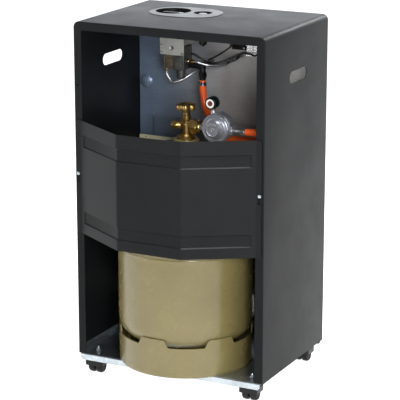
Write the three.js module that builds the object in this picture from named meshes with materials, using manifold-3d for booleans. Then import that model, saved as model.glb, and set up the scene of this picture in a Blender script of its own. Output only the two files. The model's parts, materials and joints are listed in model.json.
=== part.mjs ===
// Portable gas cabinet heater with its gas cylinder inside, shown from behind with the upper back open.
// Units are millimetres. +Z is up, the burners face -Y, the open back faces +Y and the floor is z = 0.
// Left and right are those of someone who looks into the open back, so left is +X.
// Every piece is made in the cabinet's own frame, whose y = 0 is the middle of the cabinet's depth.
import * as THREE from "three";
import { mergeVertices } from "three/addons/utils/BufferGeometryUtils.js";
import { ConvexGeometry } from "three/addons/geometries/ConvexGeometry.js";
import Module from "manifold-3d";

const wasm = await Module();
wasm.setup();

// ---- Clearances
const touch = 0.3; // gap between two pieces that rest on each other
const runningGap = 0.4; // radial gap of a piece that turns or slides in another
const overlap = 1; // how far two forms of one piece run into each other, and a cutter past a face

// ---- Cabinet
const cabinetWidth = 420;
const cabinetDepth = 305;
const cabinetTop = 739; // height of the top sheet's upper face
const sheet = 1.2;
const topBend = 12; // outer radius where a side turns into the top
const rearReturn = 17.5; // width of the flange round the open back
const returnCorner = 3;
const frontReturn = 12;
const bendSteps = 4;
const handleSlotLength = 82;
const handleSlotHeight = 24;
const handleSlotDrop = 99; // from the top to the middle of the slot
const handleSlotShift = 4; // from the middle of the side towards the front
const spareHoleRadius = 2.2;
const spareHoleDrop = 129;

// ---- Base plate
const baseTop = 43;
const baseLip = 13; // height of the rear and front lips, from the plate's top face down
const baseLipInset = 4; // how far the lips stop short of the cabinet's sides
const baseLipChamfer = 4;
const baseSideFlange = 14;

// ---- Rear cover
const coverTop = 539;
const coverBottom = 304;
const coverBulge = 79.5; // how far the middle facet stands behind the cabinet
const coverFold = 70; // half the width of the middle facet
const coverFlange = 12; // width of the flat flange at each side
const coverMargin = 4; // from the cover's edge to the cabinet's side
const coverFoldRadius = 12;
const beadWidth = 26;
const beadRise = 2;
const upperBeadDrop = 41; // from the cover's top edge to the middle of the upper bead
const lowerBeadRise = 34.5; // from the cover's bottom edge to the middle of the lower bead
const beadEndMargin = 8;
const screwMargin = 8; // from the screw's axis to the cabinet's side
const screwDrop = 110; // from the cover's top edge to the screws
const screwShankRadius = 2;
const screwShankLength = 8;
const screwHeadRadius = 3.7;
const screwHeadHeight = 2;
const keyholeDrop = 14; // from the screw to the wide end of the keyhole
const keyholeRadius = 4.5;

// ---- Foot ring
const footRingHeight = 78;
const footRingInset = 1; // how far the ring's outside lies inside the cylinder's wall
const footRingWall = 3;
const footNotches = 6;
const footNotchDepth = 16;
const footNotchTop = 92;
const footNotchBottom = 76;
const footNotchTurn = 27; // degrees from the back to the middle of the first notch, towards the right

// ---- Gas cylinder
const cylinderX = 1;
const cylinderSetback = 83.5; // from the cabinet's rear face to the cylinder's axis
const cylinderRadius = 139;
const cylinderWall = 3;
const shoulderRise = 18.7; // from the foot ring's top edge to where the straight wall starts
const wallHeight = 293; // height of the straight wall
const headHeight = 62;
const knuckleRadius = 45;
const weldHeight = 7;
const weldRise = 1.3;
const collarRadius = 27;
const collarHeight = 10;
const neckBore = 13;
const cylinderSides = 32;
const headSteps = 3;

// ---- Cylinder valve
const valveThreadLength = 20; // how far the valve reaches down into the cylinder's neck
const valveFlareRadius = 20;
const valveFlareHeight = 5;
const valveBodyRadius = 11;
const valveBodyHeight = 38;
const valveNeckRadius = 9.5;
const valveNeckHeight = 16;
const outletRise = 26; // from the top of the cylinder's collar to the outlet's axis
const outletRadius = 10;
const outletReach = 24; // from the valve's axis to the end of the outlet
const capBossReach = 18;
const capBossRadius = 8;
const capLength = 13;
const capRadius = 9;
const handwheelRadius = 19.5;
const handwheelLobes = 6;
const handwheelLobe = 1.8; // how far each lobe stands proud of the mean radius
const handwheelHeight = 12;
const handwheelHubRadius = 8;
const handwheelHubHeight = 4;
const valveSides = 20;

// ---- Regulator
const nutStart = 11; // from the valve's axis to the near face of the coupling nut
const nutLength = 23;
const nutRadius = 15;
const nippleRadius = 7;
const regulatorReach = 73; // from the valve's axis to the regulator's
const regulatorRise = 4; // from the outlet's axis up to the regulator's
const regulatorBodyRadius = 28;
const regulatorBodyEdge = 6;
const regulatorFlangeRadius = 30;
const regulatorBack = 22; // from the regulator's centre to its front face
const regulatorFlangeBack = 5;
const regulatorFlangeFront = 9.5;
const regulatorRimHeight = 10;
const regulatorRimEdge = 2;
const regulatorDish = 3;
const regulatorCapHeight = 23;
const regulatorCapRadius = 13.5;
const regulatorCapFoot = 4;
const regulatorBossRadius = 8.5;
const regulatorBossReach = 23;
const outletNutLength = 9;
const outletNutRadius = 9.5;
const outletStemRadius = 3.2;
const outletStemLength = 15;
const ferruleLength = 12;
const ferruleRadius = 7.8;
const regulatorSides = 24;

// ---- Pressure gauge
const gaugeShift = 11; // from the regulator's axis to the gauge's, towards the valve
const gaugeRise = 50;
const gaugeRadius = 12.6;
const gaugeBezelRadius = 10.4;
const gaugeDepth = 18;
const gaugeBezelDepth = 2.5;
const gaugeBack = 2; // from the regulator's centre to the back of the case
const gaugeStemRadius = 4.2;
const gaugeStemLength = 3;
const gaugeStemShift = 2; // from the regulator's centre to the stem's axis

// ---- Gas hose
const hoseRadius = 7.25;
const hoseLead = 14; // straight length at each end
const hoseWallGap = 5; // from the hose to the cabinet's side where it turns
const hoseRunY = -20; // where the hose runs across behind the burners
const hoseRunDrop = 40; // how far that run lies below the regulator's outlet
const hoseRunEnd = 60; // from the middle of the cabinet to where the hose starts to rise
const hoseTurnSteps = 6;
const hoseSides = 10;
const hoseSteps = 36;
const clampWidth = 8;
const clampWall = 1.4;
const clampLug = 7;
const clampLugWidth = 6;
const clampMargin = 3; // from the hose's end to the clamp

// ---- Control panel in the top
const panelX = 56; // middle of the oval
const panelSetback = 113.5; // from the cabinet's front face to the middle of the oval
const panelHalfLength = 76;
const panelHalfWidth = 59;
const panelRoundness = 2.4; // exponent of the oval: 2 is an ellipse, more is squarer
const panelSteps = 32;
const panelRim = 1.2;
const panelRimOverlap = 4;
const panelThickness = 3;
const cupWall = 1.8;
const knobX = 86;
const knobSetback = 111.5; // from the cabinet's front face to the knob's axis
const knobWellRadius = 36.6;
const knobWellDepth = 22;
const knobRadius = 29;
const knobEdge = 3;
const knobHeight = 16;
const knobTravel = 4;
const knobGripWidth = 11;
const knobGripHeight = 9;
const knobGripInset = 5;
const spindleRadius = 4;
const spindleHoleRadius = 5;
const buttonX = 20;
const buttonSetback = 108.5;
const buttonWellRadius = 19;
const buttonWellDepth = 6;
const buttonRadius = 9;
const buttonEdge = 1.5;
const buttonHeight = 19;
const buttonTravel = 6;
const buttonCollarRadius = 12;
const piezoRadius = 8;
const piezoHeight = 42;
const piezoFlangeRadius = 10;
const piezoFlangeHeight = 3;
const panelSides = 24;

// ---- Gas control under the knob: places along X and Y are from the knob's axis, heights from the top down
const bracketLeft = 25;
const bracketRight = 30;
const bracketRear = 13;
const bracketFront = 35;
const bracketDrop = 88;
const bracketSideDrop = 67;
const controlLeft = 23;
const controlRight = 27;
const controlRear = 8;
const controlFront = 31;
const controlDrop = 120;
const controlHeight = 49;
const controlStep = 3; // from the knob's axis to where the raised block meets the set-back block
const controlSetBack = 7;
const controlBossMargin = 8;
const controlBossRise = 4;
const towerRadius = 9;
const towerDrop = 33;
const filterX = 15;
const filterY = 5;
const filterRadius = 9.7;
const filterHeight = 18;
const burnerOutletRise = 19;
const burnerOutletY = 4;
const burnerOutletRadius = 5;
const burnerNoseRadius = 3.5;
const burnerOutletReach = 17;
const pilotOutletX = 18;
const pilotOutletY = 4;
const pilotOutletRadius = 4;
const pilotOutletReach = 5;
const inletX = 57;
const inletY = 19;
const inletRise = 9; // from the gas control's bottom up to the inlet's axis
const inletRadius = 7.3;
const inletDrop = 30; // from the inlet's axis down to the hose
const inletHexRadius = 9.2;
const inletHexDrop = 14;
const inletHexHeight = 10;
const controlSides = 12;

// ---- Tubes and leads
const tubeRadius = 2.9;
const tubeLead = 6; // straight length at each end
const tubeSides = 8;
const tubeSteps = 20;
const burnerTubeX = 33; // from the cabinet's middle to where the tube meets the shield
const burnerTubeRise = 7; // from the outlet up to where the tube meets the shield
const pilotTubeX = 44;
const pilotTubeRise = 4.5;
const sensorLeadRadius = 2.5;
const sensorLeadX = 65;
const sensorLeadDrop = 90; // from the top to the gas control's end of the lead
const sensorLeadY = 26; // from the knob's axis to that end
const sensorLeadFall = 1.5;
const igniterLeadRadius = 1.4;
const igniterLeadX = 33;
const igniterLeadRise = 18; // from the igniter's lower end up to the lead
const igniterLeadFall = 61;
const leadSteps = 18;
const clipX = 27; // from the cabinet's middle to the clip's middle
const clipWidth = 34;
const clipDrop = 83;
const clipHeight = 11;
const clipReach = 15;

// ---- Heat shield
const shieldSetback = 34.5; // from the cabinet's front face to the shield's rear face
const shieldSheet = 1;
const shieldBottom = 446;
const shieldReturn = 9;
const embossMargin = 30.8; // from the cabinet's side to the raised field
const embossHeight = 55;
const embossSlope = 9;
const embossRise = 6;
const dimpleMargin = 17;
const dimpleDrop = 168;
const dimpleRadius = 15;
const dimpleRise = 6;
const ventX = 43; // from the cabinet's middle to the first hole
const ventDrop = 86.5;
const ventPitch = 5.5;
const ventRows = 3;
const ventColumns = 6;
const ventRadius = 1.9;
const ventSides = 6;
const railEndGap = 3.8;
const railHeight = 10;

// ---- Front
const openingMargin = 38; // from the cabinet's side to the radiant opening
const openingBottom = 335;
const openingDrop = 39;
const openingCorner = 12;
const slotCount = 7;
const slotWidth = 6;
const slotHeight = 44;
const slotPitch = 40;
const slotRise = 35; // from the base to the air slots
const guardBar = 4;
const guardOverlap = 6;
const guardBow = 19.5; // how far the guard stands in front of the cabinet
const guardRamp = 16;
const guardWire = 2.8;
const guardWires = 11;
const guardStays = 4;
const guardStayPitch = 70;
const reflectorMargin = 20; // from the opening's edge to the reflector's side wall
const reflectorFoot = 5; // how far the reflector reaches below the opening
const reflectorDrop = 105;
const reflectorGap = 3; // air gap between the reflector and the heat shield
const reflectorWing = 26;
const burnerCount = 3;
const burnerGap = 10;
const burnerRise = 26; // from the reflector's bottom to the burners
const burnerTopGap = 28;
const burnerDepth = 12;
const plaqueDepth = 11;
const plaqueMargin = 0.5; // how far the plaque stops short of the burner's outline, less than its wall
const pilotWidth = 30;
const pilotHeight = 13;
const pilotDepth = 12;
const pilotProbeRadius = 2;
const pilotProbeLength = 11; // how far the probe stands out of the pilot burner

// ---- Casters
const casterMarginX = 33; // from the cabinet's side to the swivel axis
const casterMarginY = 24.5; // from the cabinet's front or rear face to the swivel axis
const casterPlateWidth = 44;
const casterPlateSheet = 2;
const housingWidth = 40;
const housingDepth = 38;
const housingCorner = 6;
const housingRoof = 2.3;
const housingSkirt = 11; // height of the housing's sides below its roof
const swivelRadius = 9;
const swivelPinRadius = 4;
const casterTrail = 5; // from the swivel axis to the axle, towards the back
const wheelRadius = 13.2;
const wheelWidth = 14.5;
const wheelShoulder = 5; // radius of the tread's rounded edge
const wheelSpread = 16.5; // distance between the two wheels' middles
const webThickness = 1.4;
const axleRadius = 2.5;
const axleEndGap = 1; // how far the axle stops short of the wheels' outer faces
const wheelSides = 16;

// ---- Places that follow from the sizes
const sideX = cabinetWidth / 2;
const rearY = cabinetDepth / 2;
const frontY = -rearY;
const innerX = sideX - sheet; // inner face of a side
const innerTop = cabinetTop - sheet;
const shieldRear = frontY + shieldSetback;
const shieldFront = shieldRear - shieldSheet;
const coverY = rearY + touch + sheet; // outer face of the cover's side flanges
const coverReach = rearY + coverBulge;
const coverEdge = sideX - coverMargin;
const coverShoulder = coverEdge - coverFlange;
const screwX = sideX - screwMargin;
const screwZ = coverTop - screwDrop;
const cylinderY = rearY - cylinderSetback;
const footRingBottom = baseTop + touch;
const footRingTop = footRingBottom + footRingHeight;
const footRingRadius = cylinderRadius - footRingInset;
const lowerShoulderZ = footRingTop + shoulderRise;
const upperShoulderZ = lowerShoulderZ + wallHeight;
const weldZ = (lowerShoulderZ + upperShoulderZ) / 2;
const collarTop = upperShoulderZ + headHeight + collarHeight;
const outletZ = collarTop + outletRise;
const nearNutX = cylinderX - nutStart;
const nippleX = cylinderX - outletReach - touch;
const handwheelBottom = collarTop + touch + valveBodyHeight + valveNeckHeight;
const regulatorX = cylinderX - regulatorReach;
const regulatorY = cylinderY;
const regulatorZ = outletZ + regulatorRise;
const outletNutX = regulatorX - regulatorBossReach;
const outletNutEnd = outletNutX - outletNutLength;
const ferruleStart = outletNutEnd - outletStemLength;
const hoseEndX = ferruleStart - ferruleLength - touch;
const gaugeX = regulatorX + gaugeShift;
const gaugeZ = regulatorZ + gaugeRise;
const gaugeStemFoot = gaugeZ - gaugeRadius - gaugeStemLength;
const panelY = frontY + panelSetback;
const knobY = frontY + knobSetback;
const buttonY = frontY + buttonSetback;
const knobFloor = cabinetTop + touch - knobWellDepth;
const knobBottom = knobFloor + knobTravel + touch;
const spindleTop = knobBottom + knobHeight / 2;
const collarBottom = cabinetTop - buttonWellDepth - buttonHeight;
const controlBottom = cabinetTop - controlDrop;
const controlTop = controlBottom + controlHeight;
const controlRightX = knobX - controlRight;
const controlRearY = knobY + controlRear;
const inletZ = controlBottom + inletRise;
const inletBottom = inletZ - inletDrop;
const inletAxisX = knobX - inletX;
const inletAxisY = knobY - inletY;
const burnerOutlet = [controlRightX - burnerOutletReach, knobY - burnerOutletY, controlBottom + burnerOutletRise];
const pilotOutlet = [knobX + pilotOutletX, knobY - pilotOutletY, controlBottom - pilotOutletReach];
const guardFront = frontY - guardBow;
const panelFace = frontY + sheet + touch; // outer face of the front panel
const panelInner = panelFace + sheet;
const openingHalfWidth = sideX - openingMargin;
const openingTop = cabinetTop - openingDrop;
const reflectorHalfWidth = openingHalfWidth - reflectorMargin;
const reflectorBottom = openingBottom - reflectorFoot;
const reflectorTop = cabinetTop - reflectorDrop;
const reflectorBack = shieldFront - reflectorGap;
const burnerPitch = (2 * (reflectorHalfWidth - sheet)) / burnerCount;
const burnerWidth = burnerPitch - burnerGap;
const burnerBottom = reflectorBottom + burnerRise;
const burnerTop = reflectorTop - burnerTopGap;
const casterPlateTop = baseTop - sheet - touch;

// ---- Looks
const blackPaint = { color: 0x37383a, roughness: 0.6, metalness: 0.1 };
const bandPaint = { color: 0x343537, roughness: 0.6, metalness: 0.1 };
const zinc = { color: 0xc8d0d4, roughness: 0.35, metalness: 0.8 };
const brightSheet = { color: 0x6d757d, roughness: 0.25, metalness: 0.9 };
const yellowZinc = { color: 0xd9d2a8, roughness: 0.4, metalness: 0.5 };
const greySteel = { color: 0x8c8c88, roughness: 0.45, metalness: 0.7 };
const castGrey = { color: 0x96989e, roughness: 0.45, metalness: 0.6 };
const darkCast = { color: 0x4a4a4a, roughness: 0.5, metalness: 0.5 };
const olivePaint = { color: 0x9b9469, roughness: 0.45, metalness: 0.3 };
const brass = { color: 0x96702f, roughness: 0.35, metalness: 0.9 };
const aluminium = { color: 0xb9babb, roughness: 0.35, metalness: 0.9 };
const orangeRubber = { color: 0xeb5a23, roughness: 0.5, metalness: 0 };
const blackPlastic = { color: 0x17181a, roughness: 0.5, metalness: 0 };
const greyPlastic = { color: 0x77787a, roughness: 0.5, metalness: 0 };
const chrome = { color: 0xd8d8d8, roughness: 0.15, metalness: 1 };
const ceramic = { color: 0xe4ddd0, roughness: 0.9, metalness: 0 };

const heater = new THREE.Group();

// ---- Solids

// A closed solid from a closed geometry, with its shared corners merged and its faces turned out.
function solid(geometry) {
  const bare = geometry.index ? geometry.toNonIndexed() : geometry.clone();
  for (const name of Object.keys(bare.attributes)) {
    if (name !== "position") bare.deleteAttribute(name);
  }
  const merged = mergeVertices(bare);
  const position = merged.attributes.position;
  const corners = [];
  let volume = 0;
  const [a, b, c] = [new THREE.Vector3(), new THREE.Vector3(), new THREE.Vector3()];
  for (let i = 0; i < merged.index.count; i += 3) {
    const [p, q, r] = [merged.index.getX(i), merged.index.getX(i + 1), merged.index.getX(i + 2)];
    if (p === q || q === r || r === p) continue;
    a.fromBufferAttribute(position, p);
    b.fromBufferAttribute(position, q);
    c.fromBufferAttribute(position, r);
    volume += a.dot(b.cross(c));
    corners.push(p, q, r);
  }
  if (volume < 0) corners.reverse();
  return new wasm.Manifold(new wasm.Mesh({
    numProp: 3,
    vertProperties: new Float32Array(position.array),
    triVerts: new Uint32Array(corners),
  }));
}

// Turns a geometry made along Z (slabs) or along Y (rods and turned pieces) to the axis that it needs.
const axisX = new THREE.Vector3(1, 0, 0);
const axisY = new THREE.Vector3(0, 1, 0);
const axisZ = new THREE.Vector3(0, 0, 1);
const slabTurn = {
  x: new THREE.Matrix4().makeBasis(axisY, axisZ, axisX),
  y: new THREE.Matrix4().makeBasis(axisX, axisZ, axisY.clone().negate()),
  z: new THREE.Matrix4(),
};
const rodTurn = {
  x: new THREE.Matrix4().makeBasis(axisY.clone().negate(), axisX, axisZ),
  y: new THREE.Matrix4(),
  z: new THREE.Matrix4().makeBasis(axisX, axisZ, axisY.clone().negate()),
};

// A box between two opposite corners.
function block(x0, x1, y0, y1, z0, z1) {
  const size = [x1 - x0, y1 - y0, z1 - z0].map(Math.abs);
  const geometry = new THREE.BoxGeometry(...size);
  return solid(geometry.translate((x0 + x1) / 2, (y0 + y1) / 2, (z0 + z1) / 2));
}

// An outline, as [u, v] points, made thick along an axis: (x, y), (x, z) or (y, z) for z, y or x.
function slab(axis, outline, from, to) {
  const shape = new THREE.Shape(outline.map(([u, v]) => new THREE.Vector2(u, v)));
  const geometry = new THREE.ExtrudeGeometry(shape, { depth: to - from, bevelEnabled: false });
  geometry.translate(0, 0, axis === "y" ? -to : from);
  return solid(geometry.applyMatrix4(slabTurn[axis]));
}

// A round rod along an axis, through the centre (x, y, z), between two stations on that axis.
function rod(axis, radius, from, to, centre, sides = controlSides) {
  const geometry = new THREE.CylinderGeometry(radius, radius, Math.abs(to - from), sides);
  geometry.applyMatrix4(rodTurn[axis]);
  const place = new THREE.Vector3(...centre).setComponent("xyz".indexOf(axis), (from + to) / 2);
  return solid(geometry.translate(place.x, place.y, place.z));
}

// A profile of [radius, station] points, closed on the axis, turned about an axis through the centre.
function turned(axis, profile, centre, sides) {
  const geometry = new THREE.LatheGeometry(profile.map(([r, s]) => new THREE.Vector2(r, s)), sides);
  geometry.applyMatrix4(rodTurn[axis]);
  return solid(geometry.translate(...centre));
}

// A round tube along a smooth line through the points.
function sweep(points, radius, sides, steps) {
  const line = new THREE.CatmullRomCurve3(points.map((p) => new THREE.Vector3(...p)), false, "centripetal");
  const section = new THREE.Shape(circle(0, 0, radius, sides).map(([u, v]) => new THREE.Vector2(u, v)));
  return solid(new THREE.ExtrudeGeometry(section, { steps, extrudePath: line, bevelEnabled: false }));
}

// A block whose rear face is narrower than its front face, and lower at the top.
function frustum(x0, x1, z0, z1, front, rear, slope) {
  const corners = [];
  for (const x of [x0, x1]) for (const z of [z0, z1]) corners.push(new THREE.Vector3(x, front, z));
  for (const x of [x0 + slope, x1 - slope]) {
    for (const z of [z0, z1 - slope]) corners.push(new THREE.Vector3(x, rear, z));
  }
  return solid(new ConvexGeometry(corners));
}

function join(...solids) {
  return solids.reduce((whole, next) => whole.add(next));
}

function cut(whole, ...tools) {
  return tools.reduce((rest, tool) => rest.subtract(tool), whole);
}

// Adds one finished piece to the heater, or to a group inside it.
function place(name, shape, look, group = heater) {
  const mesh = shape.getMesh();
  const geometry = new THREE.BufferGeometry();
  geometry.setAttribute("position", new THREE.BufferAttribute(mesh.vertProperties, mesh.numProp));
  geometry.setIndex(new THREE.BufferAttribute(mesh.triVerts, 1));
  geometry.computeVertexNormals();
  const piece = new THREE.Mesh(geometry, new THREE.MeshStandardMaterial(look));
  piece.name = name;
  group.add(piece);
}

// ---- Outlines

function arc(u, v, radius, from, to, steps) {
  return Array.from({ length: steps + 1 }, (_, i) => {
    const angle = from + ((to - from) * i) / steps;
    return [u + radius * Math.cos(angle), v + radius * Math.sin(angle)];
  });
}

function circle(u, v, radius, sides) {
  return arc(u, v, radius, 0, 2 * Math.PI, sides).slice(1);
}

// The wrap of the cabinet: up one side, over the top and down the other side.
function arch(halfWidth, bottom, top, bend) {
  return [
    [-halfWidth, bottom],
    ...arc(bend - halfWidth, top - bend, bend, Math.PI, Math.PI / 2, bendSteps),
    ...arc(halfWidth - bend, top - bend, bend, Math.PI / 2, 0, bendSteps),
    [halfWidth, bottom],
  ];
}

function roundedRectangle(u0, u1, v0, v1, radius) {
  const quarter = Math.PI / 2;
  return [
    ...arc(u1 - radius, v1 - radius, radius, 0, quarter, bendSteps),
    ...arc(u0 + radius, v1 - radius, radius, quarter, 2 * quarter, bendSteps),
    ...arc(u0 + radius, v0 + radius, radius, 2 * quarter, 3 * quarter, bendSteps),
    ...arc(u1 - radius, v0 + radius, radius, 3 * quarter, 4 * quarter, bendSteps),
  ];
}

// An oval between an ellipse and a rectangle.
function oval(u, v, halfLength, halfWidth) {
  const bow = (value) => Math.sign(value) * Math.abs(value) ** (2 / panelRoundness);
  return circle(0, 0, 1, panelSteps).map(([c, s]) => [u + halfLength * bow(c), v + halfWidth * bow(s)]);
}

function hexagon(u, v, radius) {
  return circle(u, v, radius, 6);
}

// A bent line with each inner corner rounded.
function rounded(points, radius, steps) {
  const line = points.map(([u, v]) => new THREE.Vector2(u, v));
  const result = [line[0]];
  for (let i = 1; i < line.length - 1; i++) {
    const back = line[i - 1].clone().sub(line[i]);
    const ahead = line[i + 1].clone().sub(line[i]);
    const half = back.angleTo(ahead) / 2;
    const reach = Math.min(radius / Math.tan(half), back.length() / 2, ahead.length() / 2);
    const start = line[i].clone().addScaledVector(back.normalize(), reach);
    const end = line[i].clone().addScaledVector(ahead.normalize(), reach);
    const bend = new THREE.QuadraticBezierCurve(start, line[i], end);
    result.push(...bend.getPoints(steps));
  }
  result.push(line[line.length - 1]);
  return result.map((p) => [p.x, p.y]);
}

// The outline of a bent strip: the line itself and the same line moved sideways by the thickness.
function ribbon(points, thickness) {
  const line = points.map(([u, v]) => new THREE.Vector2(u, v));
  const side = (a, b) => new THREE.Vector2(a.y - b.y, b.x - a.x).normalize();
  const moved = line.map((p, i) => {
    const before = side(line[Math.max(i - 1, 0)], line[Math.max(i, 1)]);
    const after = side(line[Math.min(i, line.length - 2)], line[Math.min(i + 1, line.length - 1)]);
    const mitre = before.clone().add(after).normalize();
    return p.clone().addScaledVector(mitre, thickness / mitre.dot(after));
  });
  return [...line, ...moved.reverse()].map((p) => [p.x, p.y]);
}

// ---- Cabinet

function cabinetShell() {
  const wallBottom = baseTop - sheet;
  const returnBottom = baseTop + touch;
  const outer = arch(sideX, wallBottom, cabinetTop, topBend);
  const inner = arch(innerX, wallBottom, innerTop, topBend - sheet);
  const wrap = slab("y", [...outer, ...inner.reverse()], frontY, rearY);
  const flangeOuter = arch(sideX, returnBottom, cabinetTop, topBend);
  const rearInner = arch(sideX - rearReturn, returnBottom, cabinetTop - rearReturn, returnCorner);
  const frontInner = arch(sideX - frontReturn, returnBottom, cabinetTop - frontReturn, returnCorner);
  const rearFlange = slab("y", [...flangeOuter, ...rearInner.reverse()], rearY - sheet, rearY);
  const frontFlange = slab("y", [...flangeOuter, ...frontInner.reverse()], frontY, frontY + sheet);
  const slotZ = cabinetTop - handleSlotDrop;
  const slotOutline = roundedRectangle(
    -handleSlotShift - handleSlotLength / 2, handleSlotLength / 2 - handleSlotShift,
    slotZ - handleSlotHeight / 2, slotZ + handleSlotHeight / 2, handleSlotHeight / 2);
  const slots = slab("x", slotOutline, -sideX - sheet, sideX + sheet);
  const hole = oval(panelX, panelY, panelHalfLength - panelRimOverlap, panelHalfWidth - panelRimOverlap);
  const opening = slab("z", hole, innerTop - sheet, cabinetTop + sheet);
  const pilotHoles = [-1, 1].map((side) => rod(
    "y", screwShankRadius + touch, rearY - 2 * sheet, rearY + sheet, [side * screwX, 0, screwZ]));
  const spareHole = rod("y", spareHoleRadius, rearY - 2 * sheet, rearY + sheet, [screwX, 0, cabinetTop - spareHoleDrop]);
  return cut(join(wrap, rearFlange, frontFlange), slots, opening, ...pilotHoles, spareHole);
}

function basePlate() {
  const edge = innerX - touch;
  const lipHalf = sideX - baseLipInset;
  const lipBottom = baseTop - baseLip;
  const flangeEnd = -panelInner - touch;
  const lip = [
    [-lipHalf, baseTop],
    [-lipHalf, lipBottom + baseLipChamfer],
    [baseLipChamfer - lipHalf, lipBottom],
    [lipHalf - baseLipChamfer, lipBottom],
    [lipHalf, lipBottom + baseLipChamfer],
    [lipHalf, baseTop],
  ];
  const parts = [block(-edge, edge, frontY, rearY, baseTop - sheet, baseTop)];
  for (const [from, to] of [[frontY, frontY + sheet], [rearY - sheet, rearY]]) {
    parts.push(slab("y", lip, from, to));
  }
  for (const side of [-1, 1]) {
    const [x0, x1] = [side * (edge - sheet), side * edge];
    parts.push(block(x0, x1, -flangeEnd, flangeEnd, baseTop - sheet, baseTop + baseSideFlange));
  }
  return join(...parts);
}

function frontPanel() {
  const outline = arch(innerX - touch, baseTop + touch, innerTop - touch, topBend - sheet - touch);
  const opening = roundedRectangle(
    -openingHalfWidth, openingHalfWidth, openingBottom, openingTop, openingCorner);
  const slots = Array.from({ length: slotCount }, (_, i) => {
    const x = (i - (slotCount - 1) / 2) * slotPitch;
    const foot = baseTop + slotRise;
    const outline = roundedRectangle(
      x - slotWidth / 2, x + slotWidth / 2, foot, foot + slotHeight, slotWidth / 2);
    return slab("y", outline, panelFace - sheet, panelInner + sheet);
  });
  const panel = slab("y", outline, panelFace, panelInner);
  return cut(panel, slab("y", opening, panelFace - sheet, panelInner + sheet), ...slots);
}

// ---- Rear cover

function coverLine(rise) {
  return rounded([
    [coverEdge, coverY],
    [coverShoulder, coverY],
    [coverFold, coverReach + rise],
    [-coverFold, coverReach + rise],
    [-coverShoulder, coverY],
    [-coverEdge, coverY],
  ], coverFoldRadius, bendSteps);
}

// A bead is the cover's own line, moved outwards and cut off short of the flanges.
function coverBead(middle) {
  const half = beadWidth / 2;
  const strip = slab("z", ribbon(coverLine(beadRise), beadRise + sheet / 2), middle - half, middle + half);
  const end = coverShoulder - beadEndMargin;
  return strip.intersect(block(-end, end, coverY + beadRise, coverReach + beadRise, coverBottom, coverTop));
}

function keyhole(side) {
  const [from, to] = [rearY, coverY + sheet];
  const slotRadius = screwShankRadius + touch;
  const x = side * screwX;
  const low = screwZ - keyholeDrop;
  return join(
    rod("y", slotRadius, from, to, [x, 0, screwZ]),
    block(x - slotRadius, x + slotRadius, from, to, low, screwZ),
    rod("y", keyholeRadius, from, to, [x, 0, low]),
  );
}

function rearCover() {
  const band = slab("z", ribbon(coverLine(0), sheet), coverBottom, coverTop);
  const beads = [coverTop - upperBeadDrop, coverBottom + lowerBeadRise].map(coverBead);
  return cut(join(band, ...beads), keyhole(-1), keyhole(1));
}

function coverScrew(side) {
  const headBase = coverY + touch;
  const centre = [side * screwX, 0, screwZ];
  return join(
    rod("y", screwShankRadius, headBase - screwShankLength, headBase + screwHeadHeight / 2, centre),
    rod("y", screwHeadRadius, headBase, headBase + screwHeadHeight, centre),
  );
}

// ---- Gas cylinder

// One end of the cylinder, from the wall to the mouth radius: a knuckle arc and a crown arc that meets it.
// An inset moves both arcs inwards by the wall's thickness. Heights are above the shoulder.
function headArc(inset, mouth) {
  const knuckleAt = cylinderRadius - knuckleRadius;
  const crown = (knuckleAt ** 2 - knuckleRadius ** 2 + headHeight ** 2) / (2 * (headHeight - knuckleRadius));
  const meet = Math.acos(knuckleAt / (crown - knuckleRadius)); // angle above level where the arcs meet
  const end = Math.acos(mouth / (crown - inset));
  return [
    ...arc(knuckleAt, 0, knuckleRadius - inset, 0, meet, headSteps),
    ...arc(0, headHeight - crown, crown - inset, meet, end, headSteps).slice(1),
  ];
}

// A vessel with an open neck that the valve screws into.
function gasCylinder() {
  const bead = [
    [cylinderRadius, weldZ - weldHeight / 2],
    [cylinderRadius + weldRise, weldZ - weldHeight / 4],
    [cylinderRadius + weldRise, weldZ + weldHeight / 4],
    [cylinderRadius, weldZ + weldHeight / 2],
  ];
  const lower = (inset) => headArc(inset, 0).map(([r, s]) => [r, lowerShoulderZ - s]);
  const upper = (inset, mouth) => headArc(inset, mouth).map(([r, s]) => [r, upperShoulderZ + s]);
  return turned("z", [
    ...lower(0).reverse(),
    ...bead,
    ...upper(0, collarRadius),
    [collarRadius, collarTop],
    [neckBore, collarTop],
    ...upper(cylinderWall, neckBore).reverse(),
    ...lower(cylinderWall),
  ], [cylinderX, cylinderY, 0], cylinderSides);
}

function footRing() {
  const centre = [cylinderX, cylinderY, 0];
  const outside = rod("z", footRingRadius, footRingBottom, footRingTop, centre, cylinderSides);
  const bore = footRingRadius - footRingWall;
  const inside = rod("z", bore, footRingBottom - overlap, footRingTop + overlap, centre, cylinderSides);
  const notch = [
    [-footNotchBottom / 2, footRingTop - footNotchDepth],
    [footNotchBottom / 2, footRingTop - footNotchDepth],
    [footNotchTop / 2, footRingTop + touch],
    [-footNotchTop / 2, footRingTop + touch],
  ];
  const notches = Array.from({ length: footNotches }, (_, i) => {
    const turn = footNotchTurn + (i * 360) / footNotches;
    return slab("y", notch, 0, footRingRadius + overlap).rotate([0, 0, turn]).translate(centre);
  });
  return cut(outside, inside, ...notches);
}

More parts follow.
